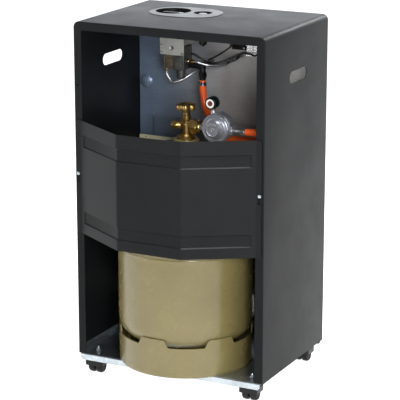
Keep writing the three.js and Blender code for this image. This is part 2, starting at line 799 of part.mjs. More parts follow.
function cylinderValve() {
  const base = collarTop + touch;
  const centre = [cylinderX, cylinderY, 0];
  const threadRadius = neckBore - touch;
  const body = turned("z", [
    [0, base - valveThreadLength],
    [threadRadius, base - valveThreadLength],
    [threadRadius, base],
    [valveFlareRadius, base],
    [valveFlareRadius, base + valveFlareHeight / 2],
    [valveBodyRadius, base + valveFlareHeight * 2],
    [valveBodyRadius, base + valveBodyHeight],
    [valveNeckRadius, base + valveBodyHeight + (valveBodyRadius - valveNeckRadius)],
    [valveNeckRadius, base + valveBodyHeight + valveNeckHeight],
    [0, base + valveBodyHeight + valveNeckHeight],
  ], centre, valveSides);
  const axis = [0, cylinderY, outletZ];
  const outlet = rod("x", outletRadius, cylinderX - outletReach, cylinderX, axis, valveSides);
  const boss = rod("x", capBossRadius, cylinderX, cylinderX + capBossReach, axis, valveSides);
  return join(body, outlet, boss);
}

function valveCap() {
  const start = cylinderX + capBossReach + touch;
  return slab("x", hexagon(cylinderY, outletZ, capRadius), start, start + capLength);
}

function valveHandwheel() {
  const bottom = handwheelBottom + touch;
  const rimBottom = bottom + handwheelHubHeight;
  const steps = handwheelLobes * 8;
  const outline = circle(0, 0, 1, steps).map(([c, s], i) => {
    const radius = handwheelRadius + handwheelLobe * Math.cos((2 * Math.PI * handwheelLobes * (i + 1)) / steps);
    return [cylinderX + radius * c, cylinderY + radius * s];
  });
  const hub = rod("z", handwheelHubRadius, bottom, rimBottom + overlap, [cylinderX, cylinderY, 0], valveSides);
  return join(hub, slab("z", outline, rimBottom, rimBottom + handwheelHeight));
}

// ---- Regulator and gauge

function couplingNut() {
  const end = nearNutX - nutLength;
  const bore = rod("x", outletRadius + runningGap, end - overlap, nearNutX + overlap,
    [0, cylinderY, outletZ], valveSides);
  return cut(slab("x", hexagon(cylinderY, outletZ, nutRadius), end, nearNutX), bore);
}

function regulatorBody() {
  const centre = [regulatorX, regulatorY, regulatorZ];
  const flangeFront = regulatorFlangeFront - touch;
  const body = turned("y", [
    [0, -regulatorBack],
    [regulatorBodyRadius - regulatorBodyEdge, -regulatorBack],
    [regulatorBodyRadius, regulatorBodyEdge - regulatorBack],
    [regulatorBodyRadius, regulatorFlangeBack],
    [regulatorFlangeRadius, regulatorFlangeBack],
    [regulatorFlangeRadius, flangeFront],
    [0, flangeFront],
  ], centre, regulatorSides);
  const axis = [0, regulatorY, outletZ];
  const nipple = rod("x", nippleRadius, regulatorX, nippleX, axis, valveSides);
  const boss = rod("x", regulatorBossRadius, outletNutX, regulatorX, axis, valveSides);
  const nut = slab("x", hexagon(regulatorY, outletZ, outletNutRadius), outletNutEnd, outletNutX + touch);
  const stem = rod("x", outletStemRadius, ferruleStart + touch, outletNutX, axis, valveSides);
  const gaugeBoss = rod("z", gaugeStemRadius + sheet, regulatorZ, gaugeStemFoot,
    [gaugeX, regulatorY + gaugeStemShift, 0]);
  return join(body, nipple, boss, nut, stem, gaugeBoss);
}

function regulatorCover() {
  const lip = regulatorFlangeFront + regulatorRimHeight;
  const top = regulatorFlangeFront + regulatorCapHeight;
  return turned("y", [
    [0, regulatorFlangeFront],
    [regulatorFlangeRadius, regulatorFlangeFront],
    [regulatorFlangeRadius, lip - regulatorRimEdge],
    [regulatorFlangeRadius - regulatorRimEdge, lip],
    [regulatorCapRadius + regulatorCapFoot, lip + regulatorDish],
    [regulatorCapRadius, top],
    [0, top],
  ], [regulatorX, regulatorY, regulatorZ], regulatorSides);
}

function pressureGauge() {
  const back = regulatorY - gaugeBack;
  const front = back + gaugeDepth;
  const centre = [gaugeX, 0, gaugeZ];
  return join(
    rod("y", gaugeRadius, back, front, centre, valveSides),
    rod("y", gaugeBezelRadius, back, front + gaugeBezelDepth, centre, valveSides),
    rod("z", gaugeStemRadius, gaugeStemFoot + touch, gaugeZ, [gaugeX, regulatorY + gaugeStemShift, 0]),
  );
}

function hoseFerrule() {
  const axis = [0, regulatorY, outletZ];
  return rod("x", ferruleRadius, ferruleStart - ferruleLength, ferruleStart, axis, valveSides);
}

// The hose leaves the regulator sideways, turns round beside the wall, crosses behind the burners
// and rises to the inlet. Each step of the rise is given as shares of the way to the inlet.
function gasHose() {
  const turn = (regulatorY - hoseRunY) / 2;
  const turnX = turn + hoseWallGap + hoseRadius - innerX;
  const turnY = (regulatorY + hoseRunY) / 2;
  const sinking = arc(turnX, turnY, turn, Math.PI / 2, 1.5 * Math.PI, hoseTurnSteps).map(([x, y], i) => {
    const sunk = (1 - Math.cos((Math.PI * i) / hoseTurnSteps)) / 2;
    return [x, y, outletZ - hoseRunDrop * sunk];
  });
  const low = new THREE.Vector3(-hoseRunEnd, hoseRunY, outletZ - hoseRunDrop);
  const high = new THREE.Vector3(inletAxisX, inletAxisY, inletBottom - touch - hoseLead);
  const rise = [[0.35, 0.15, 0.03], [0.6, 0.45, 0.18], [0.79, 0.78, 0.38], [0.92, 0.94, 0.57], [0.98, 1, 0.8]];
  const rising = rise.map((share) => low.clone().add(
    high.clone().sub(low).multiply(new THREE.Vector3(...share))).toArray());
  return sweep([
    [hoseEndX, regulatorY, outletZ],
    [hoseEndX - hoseLead, regulatorY, outletZ],
    ...sinking,
    [(turnX - hoseRunEnd) / 2, hoseRunY, outletZ - hoseRunDrop],
    low.toArray(),
    ...rising,
    high.toArray(),
    [inletAxisX, inletAxisY, inletBottom - touch],
  ], hoseRadius, hoseSides, hoseSteps);
}

function inletClamp() {
  const top = inletBottom - touch - clampMargin;
  const bottom = top - clampWidth;
  const bore = hoseRadius + touch;
  const centre = [inletAxisX, inletAxisY, 0];
  const band = rod("z", bore + clampWall, bottom, top, centre, valveSides);
  const half = clampLugWidth / 2;
  const lug = block(inletAxisX - half, inletAxisX + half, inletAxisY, inletAxisY + bore + clampLug,
    bottom + overlap, top - overlap);
  return cut(join(band, lug), rod("z", bore, bottom - overlap, top + overlap, centre, valveSides));
}

// ---- Control panel

function controlBezel() {
  const rimTop = cabinetTop + touch + panelRim;
  const rim = slab("z", oval(panelX, panelY, panelHalfLength, panelHalfWidth), cabinetTop + touch, rimTop);
  const skirtGap = panelRimOverlap + touch;
  const skirt = oval(panelX, panelY, panelHalfLength - skirtGap, panelHalfWidth - skirtGap);
  const plug = slab("z", skirt, cabinetTop + touch - panelThickness, rimTop);
  const knobCentre = [knobX, knobY, 0];
  const buttonCentre = [buttonX, buttonY, 0];
  const cupTop = cabinetTop + touch - overlap;
  const buttonFloor = cabinetTop - buttonWellDepth;
  const over = rimTop + overlap;
  const cups = [
    rod("z", knobWellRadius + cupWall, knobFloor - cupWall, cupTop, knobCentre, panelSides),
    rod("z", buttonWellRadius + cupWall, buttonFloor - cupWall, cupTop, buttonCentre, panelSides),
    rod("z", buttonCollarRadius, collarBottom, cupTop, buttonCentre, panelSides),
  ];
  const wells = [
    rod("z", knobWellRadius, knobFloor, over, knobCentre, panelSides),
    rod("z", spindleHoleRadius, knobFloor - 2 * cupWall, knobFloor + overlap, knobCentre),
    rod("z", buttonWellRadius, buttonFloor, over, buttonCentre, panelSides),
    rod("z", buttonRadius + runningGap, collarBottom - overlap, over, buttonCentre, panelSides),
  ];
  return cut(join(rim, plug, ...cups), ...wells);
}

function controlKnob() {
  const centre = [knobX, knobY, 0];
  const top = knobBottom + knobHeight;
  const face = top - knobGripHeight / 2;
  const disc = turned("z", [
    [0, knobBottom],
    [knobRadius, knobBottom],
    [knobRadius, face - knobEdge],
    [knobRadius - knobEdge, face],
    [0, face],
  ], centre, panelSides);
  const gripLength = knobRadius - knobGripInset;
  const grip = roundedRectangle(knobX - gripLength, knobX + gripLength,
    knobY - knobGripWidth / 2, knobY + knobGripWidth / 2, knobGripWidth / 2);
  const boreTop = spindleTop + knobTravel + touch;
  const bore = rod("z", spindleRadius + runningGap, knobBottom - overlap, boreTop, centre);
  return cut(join(disc, slab("z", grip, top - knobGripHeight, top)), bore);
}

function controlSpindle() {
  return rod("z", spindleRadius, cabinetTop - towerDrop + touch, spindleTop, [knobX, knobY, 0]);
}

function igniterButton() {
  const top = cabinetTop + touch;
  return turned("z", [
    [0, top - buttonHeight + buttonTravel],
    [buttonRadius, top - buttonHeight + buttonTravel],
    [buttonRadius, top - buttonEdge],
    [buttonRadius - buttonEdge, top],
    [0, top],
  ], [buttonX, buttonY, 0], panelSides);
}

function piezoIgniter() {
  const top = collarBottom - touch;
  const centre = [buttonX, buttonY, 0];
  return join(
    rod("z", piezoFlangeRadius, top - piezoFlangeHeight, top, centre),
    rod("z", piezoRadius, top - piezoHeight, top - piezoFlangeHeight / 2, centre),
  );
}

// ---- Gas control

function valveBracket() {
  const top = knobFloor - cupWall - touch;
  const [right, left] = [knobX - bracketRight, knobX + bracketLeft];
  const [front, rear] = [knobY - bracketFront, knobY + bracketRear];
  const plate = block(right, left, rear - sheet, rear, cabinetTop - bracketDrop, top);
  const tab = block(right, left, front, rear, top - sheet, top);
  const sides = [[right, right + sheet], [left - sheet, left]].map(
    ([x0, x1]) => block(x0, x1, front, rear, cabinetTop - bracketSideDrop, top));
  const hole = rod("z", spindleHoleRadius, top - 2 * sheet, top + overlap, [knobX, knobY, 0]);
  return cut(join(plate, tab, ...sides), hole);
}

function gasValve() {
  const left = knobX + controlLeft;
  const step = knobX - controlStep;
  const front = knobY - controlFront;
  const setBack = controlRearY - controlSetBack;
  const bossX = [knobX - bracketRight + controlBossMargin, knobX + bracketLeft - controlBossMargin];
  const bossRear = knobY + bracketRear - sheet - touch;
  const bossBottom = cabinetTop - bracketDrop + controlBossRise;
  const [outletX, outletY, outletHeight] = burnerOutlet;
  const [pilotX, pilotY, pilotEnd] = pilotOutlet;
  const outletAxis = [0, outletY, outletHeight];
  const filterFoot = controlBottom - filterHeight;
  return join(
    block(controlRightX, step, front, controlRearY, controlBottom, controlTop),
    block(step, left, front, setBack, controlBottom, controlTop),
    block(...bossX, setBack, bossRear, bossBottom, controlTop),
    rod("z", towerRadius, controlTop - overlap, cabinetTop - towerDrop, [knobX, knobY, 0]),
    rod("z", filterRadius, filterFoot, controlBottom + overlap, [knobX - filterX, knobY - filterY, 0]),
    rod("x", burnerOutletRadius, (outletX + controlRightX) / 2, controlRightX + overlap, outletAxis),
    rod("x", burnerNoseRadius, outletX, controlRightX, outletAxis),
    rod("z", pilotOutletRadius, pilotEnd, controlBottom + overlap, [pilotX, pilotY, 0]),
  );
}

function hoseInlet() {
  const hexTop = inletZ - inletHexDrop;
  const hexOutline = hexagon(inletAxisX, inletAxisY, inletHexRadius);
  return join(
    rod("x", inletRadius, inletAxisX, controlRightX - touch, [0, inletAxisY, inletZ]),
    rod("z", inletRadius, inletBottom, inletZ + inletRadius, [inletAxisX, inletAxisY, 0]),
    slab("z", hexOutline, hexTop - inletHexHeight, hexTop),
  );
}

// A line between two ends. Each waypoint says how far along the straight way from start to end it
// lies, and then how far to the back, up and to the left it stands off, all as shares of its length.
function route(start, startAxis, end, endAxis, lead, waypoints) {
  const from = new THREE.Vector3(...start);
  const to = new THREE.Vector3(...end);
  const way = to.clone().sub(from);
  const size = way.length();
  const middle = waypoints.map(([along, back, up, left = 0]) => from.clone()
    .addScaledVector(way, along).add(new THREE.Vector3(left, back, up).multiplyScalar(size)).toArray());
  const afterStart = from.clone().addScaledVector(startAxis, lead).toArray();
  const beforeEnd = to.clone().addScaledVector(endAxis, lead).toArray();
  return [start, afterStart, ...middle, beforeEnd, end];
}

const rightward = axisX.clone().negate();
const backward = axisY;
const downward = axisZ.clone().negate();

function burnerTube() {
  const [x, y, z] = burnerOutlet;
  const start = [x - touch, y, z];
  const end = [-burnerTubeX, shieldRear + touch, z + burnerTubeRise];
  return sweep(route(start, rightward, end, backward, tubeLead, [
    [0.18, 0.1, -0.04],
    [0.38, 0.17, -0.09],
    [0.53, 0.18, -0.12],
    [0.68, 0.18, -0.12],
    [0.81, 0.13, -0.09],
    [0.95, 0.1, -0.04],
  ]), tubeRadius, tubeSides, tubeSteps);
}

function pilotTube() {
  const [x, y, z] = pilotOutlet;
  const start = [x, y, z - touch];
  const end = [pilotTubeX, shieldRear + touch, controlBottom + pilotTubeRise];
  return sweep(route(start, downward, end, backward, tubeLead, [
    [0.07, 0.05, -0.16],
    [0.17, 0.12, -0.25],
    [0.27, 0.18, -0.27],
    [0.47, 0.27, -0.25],
    [0.75, 0.36, -0.16],
    [0.95, 0.33, -0.06],
    [0.99, 0.16, -0.01],
  ]), tubeRadius, tubeSides, tubeSteps);
}

function sensorLead() {
  const z = cabinetTop - sensorLeadDrop;
  const start = [controlRightX - touch, knobY - sensorLeadY, z];
  const end = [-sensorLeadX, shieldRear + touch, z - sensorLeadFall];
  return sweep(route(start, rightward, end, backward, tubeLead, [
    [0.15, 0.02, -0.06],
    [0.26, 0.03, -0.12],
    [0.41, 0.1, -0.12],
    [0.53, 0.1, -0.09],
    [0.63, 0.09, -0.05],
    [0.73, 0.08, 0],
    [0.83, 0.06, 0.04],
    [0.93, 0.06, 0.03],
  ]), sensorLeadRadius, tubeSides, leadSteps);
}

function igniterLead() {
  const z = collarBottom - touch - piezoHeight + igniterLeadRise;
  const start = [buttonX - piezoRadius - touch, buttonY, z];
  const end = [igniterLeadX, shieldRear + touch, z - igniterLeadFall];
  return sweep(route(start, rightward, end, backward, tubeLead, [
    [0, 0, 0.03, -0.3],
    [0, -0.01, 0, -0.51],
    [0.16, 0.1, 0, -0.61],
    [0.36, 0.21, 0, -0.51],
    [0.52, 0.29, 0, -0.39],
    [0.69, 0.37, 0, -0.25],
    [0.8, 0.34, 0, -0.12],
    [0.91, 0.28, 0, -0.04],
    [0.98, 0.16, 0, -0.01],
  ]), igniterLeadRadius, tubeSides, leadSteps);
}

function leadClip() {
  const back = shieldRear + touch;
  const [right, left] = [-clipX - clipWidth / 2, clipWidth / 2 - clipX];
  const bottom = cabinetTop - clipDrop;
  const top = bottom + clipHeight;
  return join(
    block(right, left, back, back + sheet, bottom, top),
    block(right, left, back, back + clipReach, top - sheet, top),
  );
}

// ---- Heat shield and rail

function heatShield() {
  const edge = innerX - touch;
  const top = innerTop - touch;
  const bend = topBend - sheet - touch;
  const outer = arch(edge, shieldBottom, top, bend);
  const inner = arch(edge - shieldSheet, shieldBottom, top - shieldSheet, bend - shieldSheet);
  const plate = slab("y", outer, shieldFront, shieldRear);
  const rim = slab("y", [...outer, ...inner.reverse()], shieldFront - shieldReturn, shieldRear);
  const fieldHalf = innerX - embossMargin;
  const fieldTop = shieldBottom + embossHeight;
  const emboss = (inset, from) => frustum(inset - fieldHalf, fieldHalf - inset,
    shieldBottom, fieldTop - inset, from, shieldRear + embossRise - inset, embossSlope);
  const ball = (dimpleRadius ** 2 + dimpleRise ** 2) / (2 * dimpleRise);
  const ballY = shieldRear + dimpleRise - ball;
  const sphere = (radius) => solid(
    new THREE.SphereGeometry(radius, controlSides, controlSides)
      .translate(innerX - dimpleMargin, ballY, cabinetTop - dimpleDrop));
  const rearSide = block(-sideX, sideX, shieldRear - shieldSheet / 2, rearY, 0, cabinetTop);
  const dimple = sphere(ball).intersect(rearSide);
  const holes = [];
  for (let row = 0; row < ventRows; row++) {
    for (let column = 0; column < ventColumns; column++) {
      const shift = row % 2 ? ventPitch / 2 : 0;
      const centre = [-ventX - shift - column * ventPitch, 0, cabinetTop - ventDrop + row * ventPitch];
      holes.push(rod("y", ventRadius, shieldFront - overlap, shieldRear + overlap, centre, ventSides));
    }
  }
  const shell = join(plate, rim, emboss(0, shieldRear - shieldSheet / 2), dimple);
  const hollow = emboss(shieldSheet, shieldFront - touch);
  return cut(shell, hollow, sphere(ball - shieldSheet), ...holes);
}

function crossRail() {
  const back = shieldRear + embossRise + touch;
  const foot = shieldBottom - touch;
  const half = innerX - railEndGap;
  return join(
    block(-half, half, back, back + sheet, foot - sheet, foot + railHeight),
    block(-half, half, reflectorBack + touch, back + sheet, foot - sheet, foot),
  );
}

// ---- Front

function guardGrille() {
  const back = panelFace - touch;
  const halfWidth = openingHalfWidth + guardOverlap;
  const [bottom, top] = [openingBottom - guardOverlap, openingTop + guardOverlap];
  const outer = roundedRectangle(-halfWidth, halfWidth, bottom, top, openingCorner + guardOverlap);
  const inner = roundedRectangle(guardBar - halfWidth, halfWidth - guardBar, bottom + guardBar,
    top - guardBar, openingCorner + guardOverlap - guardBar);
  const frame = cut(slab("y", outer, back - guardBar, back), slab("y", inner, back - 2 * guardBar, panelInner));
  const foot = back - guardBar / 2;
  const reach = halfWidth - guardBar / 2;
  const wireLine = [[-reach, foot], [guardRamp - reach, guardFront], [reach - guardRamp, guardFront],
    [reach, foot]];
  const wirePitch = (top - bottom - guardBar) / (guardWires + 1);
  const parts = [frame];
  for (let i = 1; i <= guardWires; i++) {
    const z = bottom + guardBar / 2 + i * wirePitch;
    parts.push(slab("z", ribbon(wireLine, guardWire), z - guardWire / 2, z + guardWire / 2));
  }
  const stayFront = guardFront + guardWire - touch;
  const [low, high] = [bottom + guardBar / 2, top - guardBar / 2];
  const stayLine = [[foot, low], [stayFront, low + guardRamp], [stayFront, high - guardRamp], [foot, high]];
  for (let i = 0; i < guardStays; i++) {
    const x = (i - (guardStays - 1) / 2) * guardStayPitch;
    parts.push(slab("x", ribbon(stayLine, -guardWire), x - guardWire / 2, x + guardWire / 2));
  }
  return join(...parts);
}

function reflector() {
  const rim = panelInner + touch;
  const w = reflectorHalfWidth;
  const tray = cut(
    block(-w, w, rim, reflectorBack, reflectorBottom, reflectorTop),
    block(sheet - w, w - sheet, rim - overlap, reflectorBack - sheet, reflectorBottom + sheet, reflectorTop - sheet),
  );
  const wings = [-1, 1].map((side) => block(side * (w - sheet), side * (w + reflectorWing),
    rim, rim + sheet, reflectorBottom, reflectorTop));
  return join(tray, ...wings);
}

// A shallow gas box whose open front the plaque closes.
function burnerBody(x) {
  const back = reflectorBack - sheet - touch;
  const front = back - burnerDepth;
  const half = burnerWidth / 2;
  const inner = half - sheet;
  return cut(
    block(x - half, x + half, front, back, burnerBottom, burnerTop),
    block(x - inner, x + inner, front - overlap, back - sheet, burnerBottom + sheet, burnerTop - sheet),
  );
}

function plaque(x) {
  const back = reflectorBack - sheet - burnerDepth - 2 * touch;
  const half = burnerWidth / 2 - plaqueMargin;
  return block(x - half, x + half, back - plaqueDepth, back,
    burnerBottom + plaqueMargin, burnerTop - plaqueMargin);
}

function pilotBurner() {
  const back = reflectorBack - sheet - touch;
  const front = back - pilotDepth;
  const bottom = reflectorBottom + sheet + touch;
  const body = block(-pilotWidth / 2, pilotWidth / 2, front, back, bottom, bottom + pilotHeight);
  const axis = [pilotWidth / 4, 0, bottom + pilotHeight / 2];
  const probe = rod("y", pilotProbeRadius, front - pilotProbeLength, front + overlap, axis, tubeSides);
  return join(body, probe);
}

// ---- Casters, each made at its own swivel axis

function casterPlate() {
  const half = casterPlateWidth / 2;
  const bottom = casterPlateTop - casterPlateSheet;
  const hole = rod("z", swivelPinRadius + runningGap, bottom - overlap, casterPlateTop + overlap, [0, 0, 0]);
  return cut(block(-half, half, -half, half, bottom, casterPlateTop), hole);
}

function casterHousing() {
  const wellRadius = wheelRadius + 2 * runningGap;
  const roofInner = wheelRadius + wellRadius;
  const roofTop = roofInner + housingRoof;
  const half = housingWidth / 2;
  const outline = roundedRectangle(
    -half, half, casterTrail - housingDepth / 2, casterTrail + housingDepth / 2, housingCorner);
  const hood = slab("z", outline, roofTop - housingSkirt, roofTop);
  const gap = webThickness / 2;
  const wheelsReach = (wheelSpread + wheelWidth) / 2;
  const axis = [0, casterTrail, wheelRadius];
  const wells = [-1, 1].map(
    (side) => rod("x", wellRadius, side * gap, side * (wheelsReach + overlap), axis, wheelSides));
  const web = block(-gap, gap, casterTrail - wheelRadius / 2, casterTrail + wheelRadius / 2,
    wheelRadius - 2 * axleRadius, roofInner + overlap);
  const axleReach = wheelsReach - axleEndGap;
  const axle = rod("x", axleRadius, -axleReach, axleReach, axis);
  const bossTop = casterPlateTop - casterPlateSheet - touch;
  const boss = rod("z", swivelRadius, roofTop - overlap, bossTop, [0, 0, 0]);
  const pin = rod("z", swivelPinRadius, roofTop - overlap, casterPlateTop, [0, 0, 0]);
  return join(cut(hood, ...wells), web, axle, boss, pin);
}

function casterWheel(side) {
  const half = wheelWidth / 2;
  const bore = axleRadius + runningGap;
  const shoulder = (s) => arc(wheelRadius - wheelShoulder, s * (half - wheelShoulder), wheelShoulder,
    (s * Math.PI) / 2, 0, 2);
  const profile = [
    [bore, -half],
    ...shoulder(-1),
    ...shoulder(1).reverse(),
    [bore, half],
    [bore, -half],
  ];
  return turned("x", profile, [(side * wheelSpread) / 2, casterTrail, wheelRadius], wheelSides);
}

function placeCaster(name, x, y) {
  const corner = new THREE.Group();
  corner.position.set(x, y, 0);
  heater.add(corner);
  place(`caster_plate_${name}`, casterPlate(), zinc, corner);
  place(`caster_housing_${name}`, casterHousing(), blackPlastic, corner);
  place(`caster_wheel_${name}_a`, casterWheel(1), blackPlastic, corner);
  place(`caster_wheel_${name}_b`, casterWheel(-1), blackPlastic, corner);
}

// ---- The heater

place("cabinet_shell", cabinetShell(), blackPaint);
place("base_plate", basePlate(), zinc);
place("front_panel", frontPanel(), blackPaint);
place("rear_cover", rearCover(), bandPaint);
place("cover_screw_left", coverScrew(1), zinc);
place("cover_screw_right", coverScrew(-1), zinc);
place("gas_cylinder", gasCylinder(), olivePaint);
place("foot_ring", footRing(), olivePaint);
place("cylinder_valve", cylinderValve(), brass);
place("valve_cap", valveCap(), brass);
place("valve_handwheel", valveHandwheel(), brass);
place("coupling_nut", couplingNut(), brass);
place("regulator_body", regulatorBody(), castGrey);
place("regulator_cover", regulatorCover(), castGrey);
place("pressure_gauge", pressureGauge(), blackPlastic);
place("hose_ferrule", hoseFerrule(), aluminium);
place("gas_hose", gasHose(), orangeRubber);
place("inlet_clamp", inletClamp(), zinc);
place("hose_inlet", hoseInlet(), blackPlastic);
place("control_bezel", controlBezel(), greyPlastic);
place("control_knob", controlKnob(), blackPlastic);
place("control_spindle", controlSpindle(), zinc);
place("igniter_button", igniterButton(), blackPlastic);
place("piezo_igniter", piezoIgniter(), blackPlastic);
place("valve_bracket", valveBracket(), greySteel);
place("gas_valve", gasValve(), darkCast);
place("burner_tube", burnerTube(), aluminium);
place("pilot_tube", pilotTube(), aluminium);
place("sensor_lead", sensorLead(), blackPlastic);
place("igniter_lead", igniterLead(), blackPlastic);
place("lead_clip", leadClip(), blackPaint);
place("heat_shield", heatShield(), brightSheet);
place("cross_rail", crossRail(), yellowZinc);
place("guard_grille", guardGrille(), chrome);
place("reflector", reflector(), zinc);
for (const [name, x] of [["left", burnerPitch], ["middle", 0], ["right", -burnerPitch]]) {
  place(`burner_${name}`, burnerBody(x), zinc);
  place(`plaque_${name}`, plaque(x), ceramic);
}
place("pilot_burner", pilotBurner(), greySteel);
for (const [side, x] of [["left", sideX - casterMarginX], ["right", casterMarginX - sideX]]) {
  placeCaster(`rear_${side}`, x, rearY - casterMarginY);
  placeCaster(`front_${side}`, x, frontY + casterMarginY);
}

// The part's origin is the middle of its footprint, on the floor.
const part = new THREE.Group();
heater.position.y = -(coverReach + beadRise + guardFront) / 2;
part.add(heater);

export default part;
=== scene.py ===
# %% [markdown]
# # A portable gas cabinet heater, seen from behind
# The heater is a folded sheet-steel cabinet on casters. Radiant gas burners sit behind a wire guard in
# front, and a gas cylinder stands in the open-backed compartment. The solids that carry the mechanism
# are loaded first, as a fixed frame. Every piece below is a finer surface in the same place, in
# millimetres, measured from the middle of the cabinet's depth, with the floor at z = 0.

# %% Load the frame
import bpy
import bmesh
import json
import math
import numpy as np
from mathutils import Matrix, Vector, geometry


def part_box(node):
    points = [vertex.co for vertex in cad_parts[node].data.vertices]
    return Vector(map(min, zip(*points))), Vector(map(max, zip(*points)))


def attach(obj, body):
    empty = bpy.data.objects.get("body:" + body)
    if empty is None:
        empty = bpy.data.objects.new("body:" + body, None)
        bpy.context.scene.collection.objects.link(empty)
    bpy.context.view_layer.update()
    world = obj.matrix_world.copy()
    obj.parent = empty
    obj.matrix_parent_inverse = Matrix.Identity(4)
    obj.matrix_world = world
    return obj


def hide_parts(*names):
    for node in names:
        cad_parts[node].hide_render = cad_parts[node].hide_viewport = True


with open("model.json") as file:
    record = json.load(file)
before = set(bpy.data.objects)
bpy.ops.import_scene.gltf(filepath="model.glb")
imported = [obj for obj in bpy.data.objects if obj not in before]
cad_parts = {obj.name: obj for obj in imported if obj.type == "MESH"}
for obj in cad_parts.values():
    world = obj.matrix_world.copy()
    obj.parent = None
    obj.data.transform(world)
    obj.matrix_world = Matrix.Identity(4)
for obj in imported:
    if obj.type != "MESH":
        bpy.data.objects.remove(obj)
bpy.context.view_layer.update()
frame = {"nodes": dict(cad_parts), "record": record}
MM = 0.001
shell_low, shell_high = (np.array(corner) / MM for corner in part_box("cabinet_shell"))
SIDE = shell_high[0]
REAR = (shell_high[1] - shell_low[1]) / 2
TOP = shell_high[2]
DEPTH_MIDDLE = (shell_high[1] + shell_low[1]) / 2
print("cabinet", 2 * SIDE, 2 * REAR, TOP, "mm, middle of its depth at", DEPTH_MIDDLE)

# %% [markdown]
# Most of the shapes here are either a grid of points that a formula of two parameters gives, or a flat
# sheet with holes that is then folded. The helpers turn such arrays of points into closed surfaces.
# numpy works out all the points of a shape at once, which is quick and keeps each formula in one place.

# %% Turn points and faces into a finished piece
def piece(name, points, faces, material, slot, nodes=(), body="cabinet", sharp=34):
    """Makes one object from points in millimetres. Points that coincide are merged, which closes seams
    and poles, and then the faces are turned outwards. Edges sharper than `sharp` degrees stay crisp."""
    mesh = bpy.data.meshes.new(name)
    placed = (np.asarray(points, dtype=float) + [0.0, DEPTH_MIDDLE, 0.0]) * MM
    mesh.from_pydata(placed.tolist(), [], [list(map(int, face)) for face in faces])
    work = bmesh.new()
    work.from_mesh(mesh)
    bmesh.ops.remove_doubles(work, verts=work.verts, dist=2e-6)
    bmesh.ops.recalc_face_normals(work, faces=work.faces)
    work.to_mesh(mesh)
    work.free()
    mesh.polygons.foreach_set("use_smooth", np.ones(len(mesh.polygons), dtype=bool))
    mesh.set_sharp_from_angle(angle=math.radians(sharp))
    mesh.materials.append(material)
    made = bpy.data.objects.new(name, mesh)
    bpy.context.scene.collection.objects.link(made)
    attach(made, body)
    if nodes:
        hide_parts(*([nodes] if isinstance(nodes, str) else nodes))
    print(name, len(mesh.polygons), "faces")
    return made


def together(*shapes):
    """Puts several (points, faces) shapes into one list of points and one list of faces."""
    points, faces, start = [], [], 0
    for some_points, some_faces in shapes:
        points.append(np.asarray(some_points, dtype=float))
        faces += [[int(i) + start for i in face] for face in some_faces]
        start += len(some_points)
    return np.concatenate(points), faces


def grid_faces(rows, columns, ring=False):
    """Four-cornered faces between neighbours of a rows x columns grid; a ring joins last to first column."""
    r, c = np.meshgrid(np.arange(rows - 1), np.arange(columns - (0 if ring else 1)), indexing="ij")
    after = (c + 1) % columns
    corners = [r * columns + c, r * columns + after, (r + 1) * columns + after, (r + 1) * columns + c]
    return np.stack(corners, axis=-1).reshape(-1, 4).tolist()


# %% Outlines
def arc(u, v, radius, start, end, steps):
    """Points on a circle about (u, v) between two angles in degrees."""
    angle = np.radians(np.linspace(start, end, steps + 1))
    return np.stack([u + radius * np.cos(angle), v + radius * np.sin(angle)], axis=1)


def circle(u, v, radius, sides):
    """A full circle about (u, v), without its last point, which is its first."""
    return arc(u, v, radius, 0, 360, sides)[:-1]


def soften(points, radius, steps=5, closed=False):
    """Rounds each corner of a bent line: the corner is cut back by radius / tan(half the angle between
    its arms) on both arms, and an arc of that radius joins the two cuts. One radius, or one per corner."""
    line = np.asarray(points, dtype=float)
    radii = np.broadcast_to(radius, len(line))
    made = []
    for i, corner in enumerate(line):
        if not closed and i in (0, len(line) - 1) or radii[i] <= 0:
            made.append(corner[None])
            continue
        back, ahead = line[i - 1] - corner, line[(i + 1) % len(line)] - corner
        back_length, ahead_length = np.linalg.norm(back), np.linalg.norm(ahead)
        back, ahead = back / back_length, ahead / ahead_length
        half = math.acos(np.clip(back @ ahead, -1, 1)) / 2
        if math.cos(half) < 1e-4:
            made.append(corner[None])
            continue
        reach = min(radii[i] / math.tan(half), 0.499 * back_length, 0.499 * ahead_length)
        round_radius = reach * math.tan(half)
        middle = corner + (back + ahead) / np.linalg.norm(back + ahead) * round_radius / math.sin(half)
        start, end = corner + back * reach - middle, corner + ahead * reach - middle
        turn = math.atan2(start[0] * end[1] - start[1] * end[0], start @ end)
        angle = np.linspace(0, turn, steps + 1)[:, None]
        side = np.array([-start[1], start[0]])
        made.append(middle + start * np.cos(angle) + side * np.sin(angle))
    return np.concatenate(made)


def rectangle(u0, u1, v0, v1, radius=0.0, steps=6):
    """A rectangle between two corners, with rounded corners."""
    return soften([(u0, v0), (u1, v0), (u1, v1), (u0, v1)], radius, steps, closed=True)


# %% Turned, drawn and extruded shapes
AXES = {"x": (1, 2, 0), "y": (0, 2, 1), "z": (0, 1, 2)}


def lay(u, v, w, axis):
    """Puts coordinates (u, v) across an axis and w along it into x, y and z."""
    placed = np.zeros(np.broadcast(u, v, w).shape + (3,))
    for value, column in zip((u, v, w), AXES[axis]):
        placed[..., column] = value
    return placed


def shaped(profile, shape, axis, centre, sides=48):
    """A profile of (radius, station) carried round an axis: u = r cos a, v = r sin a, w = station. The
    shape changes the radius on the way: r = shape(angle, radius)."""
    profile = np.asarray(profile, dtype=float)
    angle = np.linspace(0, 2 * np.pi, sides, endpoint=False)[None, :]
    radius = shape(angle, profile[:, :1])
    points = lay(radius * np.cos(angle), radius * np.sin(angle), profile[:, 1:] + 0 * angle, axis)
    faces = grid_faces(len(profile), sides, ring=True)
    return points.reshape(-1, 3) + np.asarray(centre, dtype=float), faces


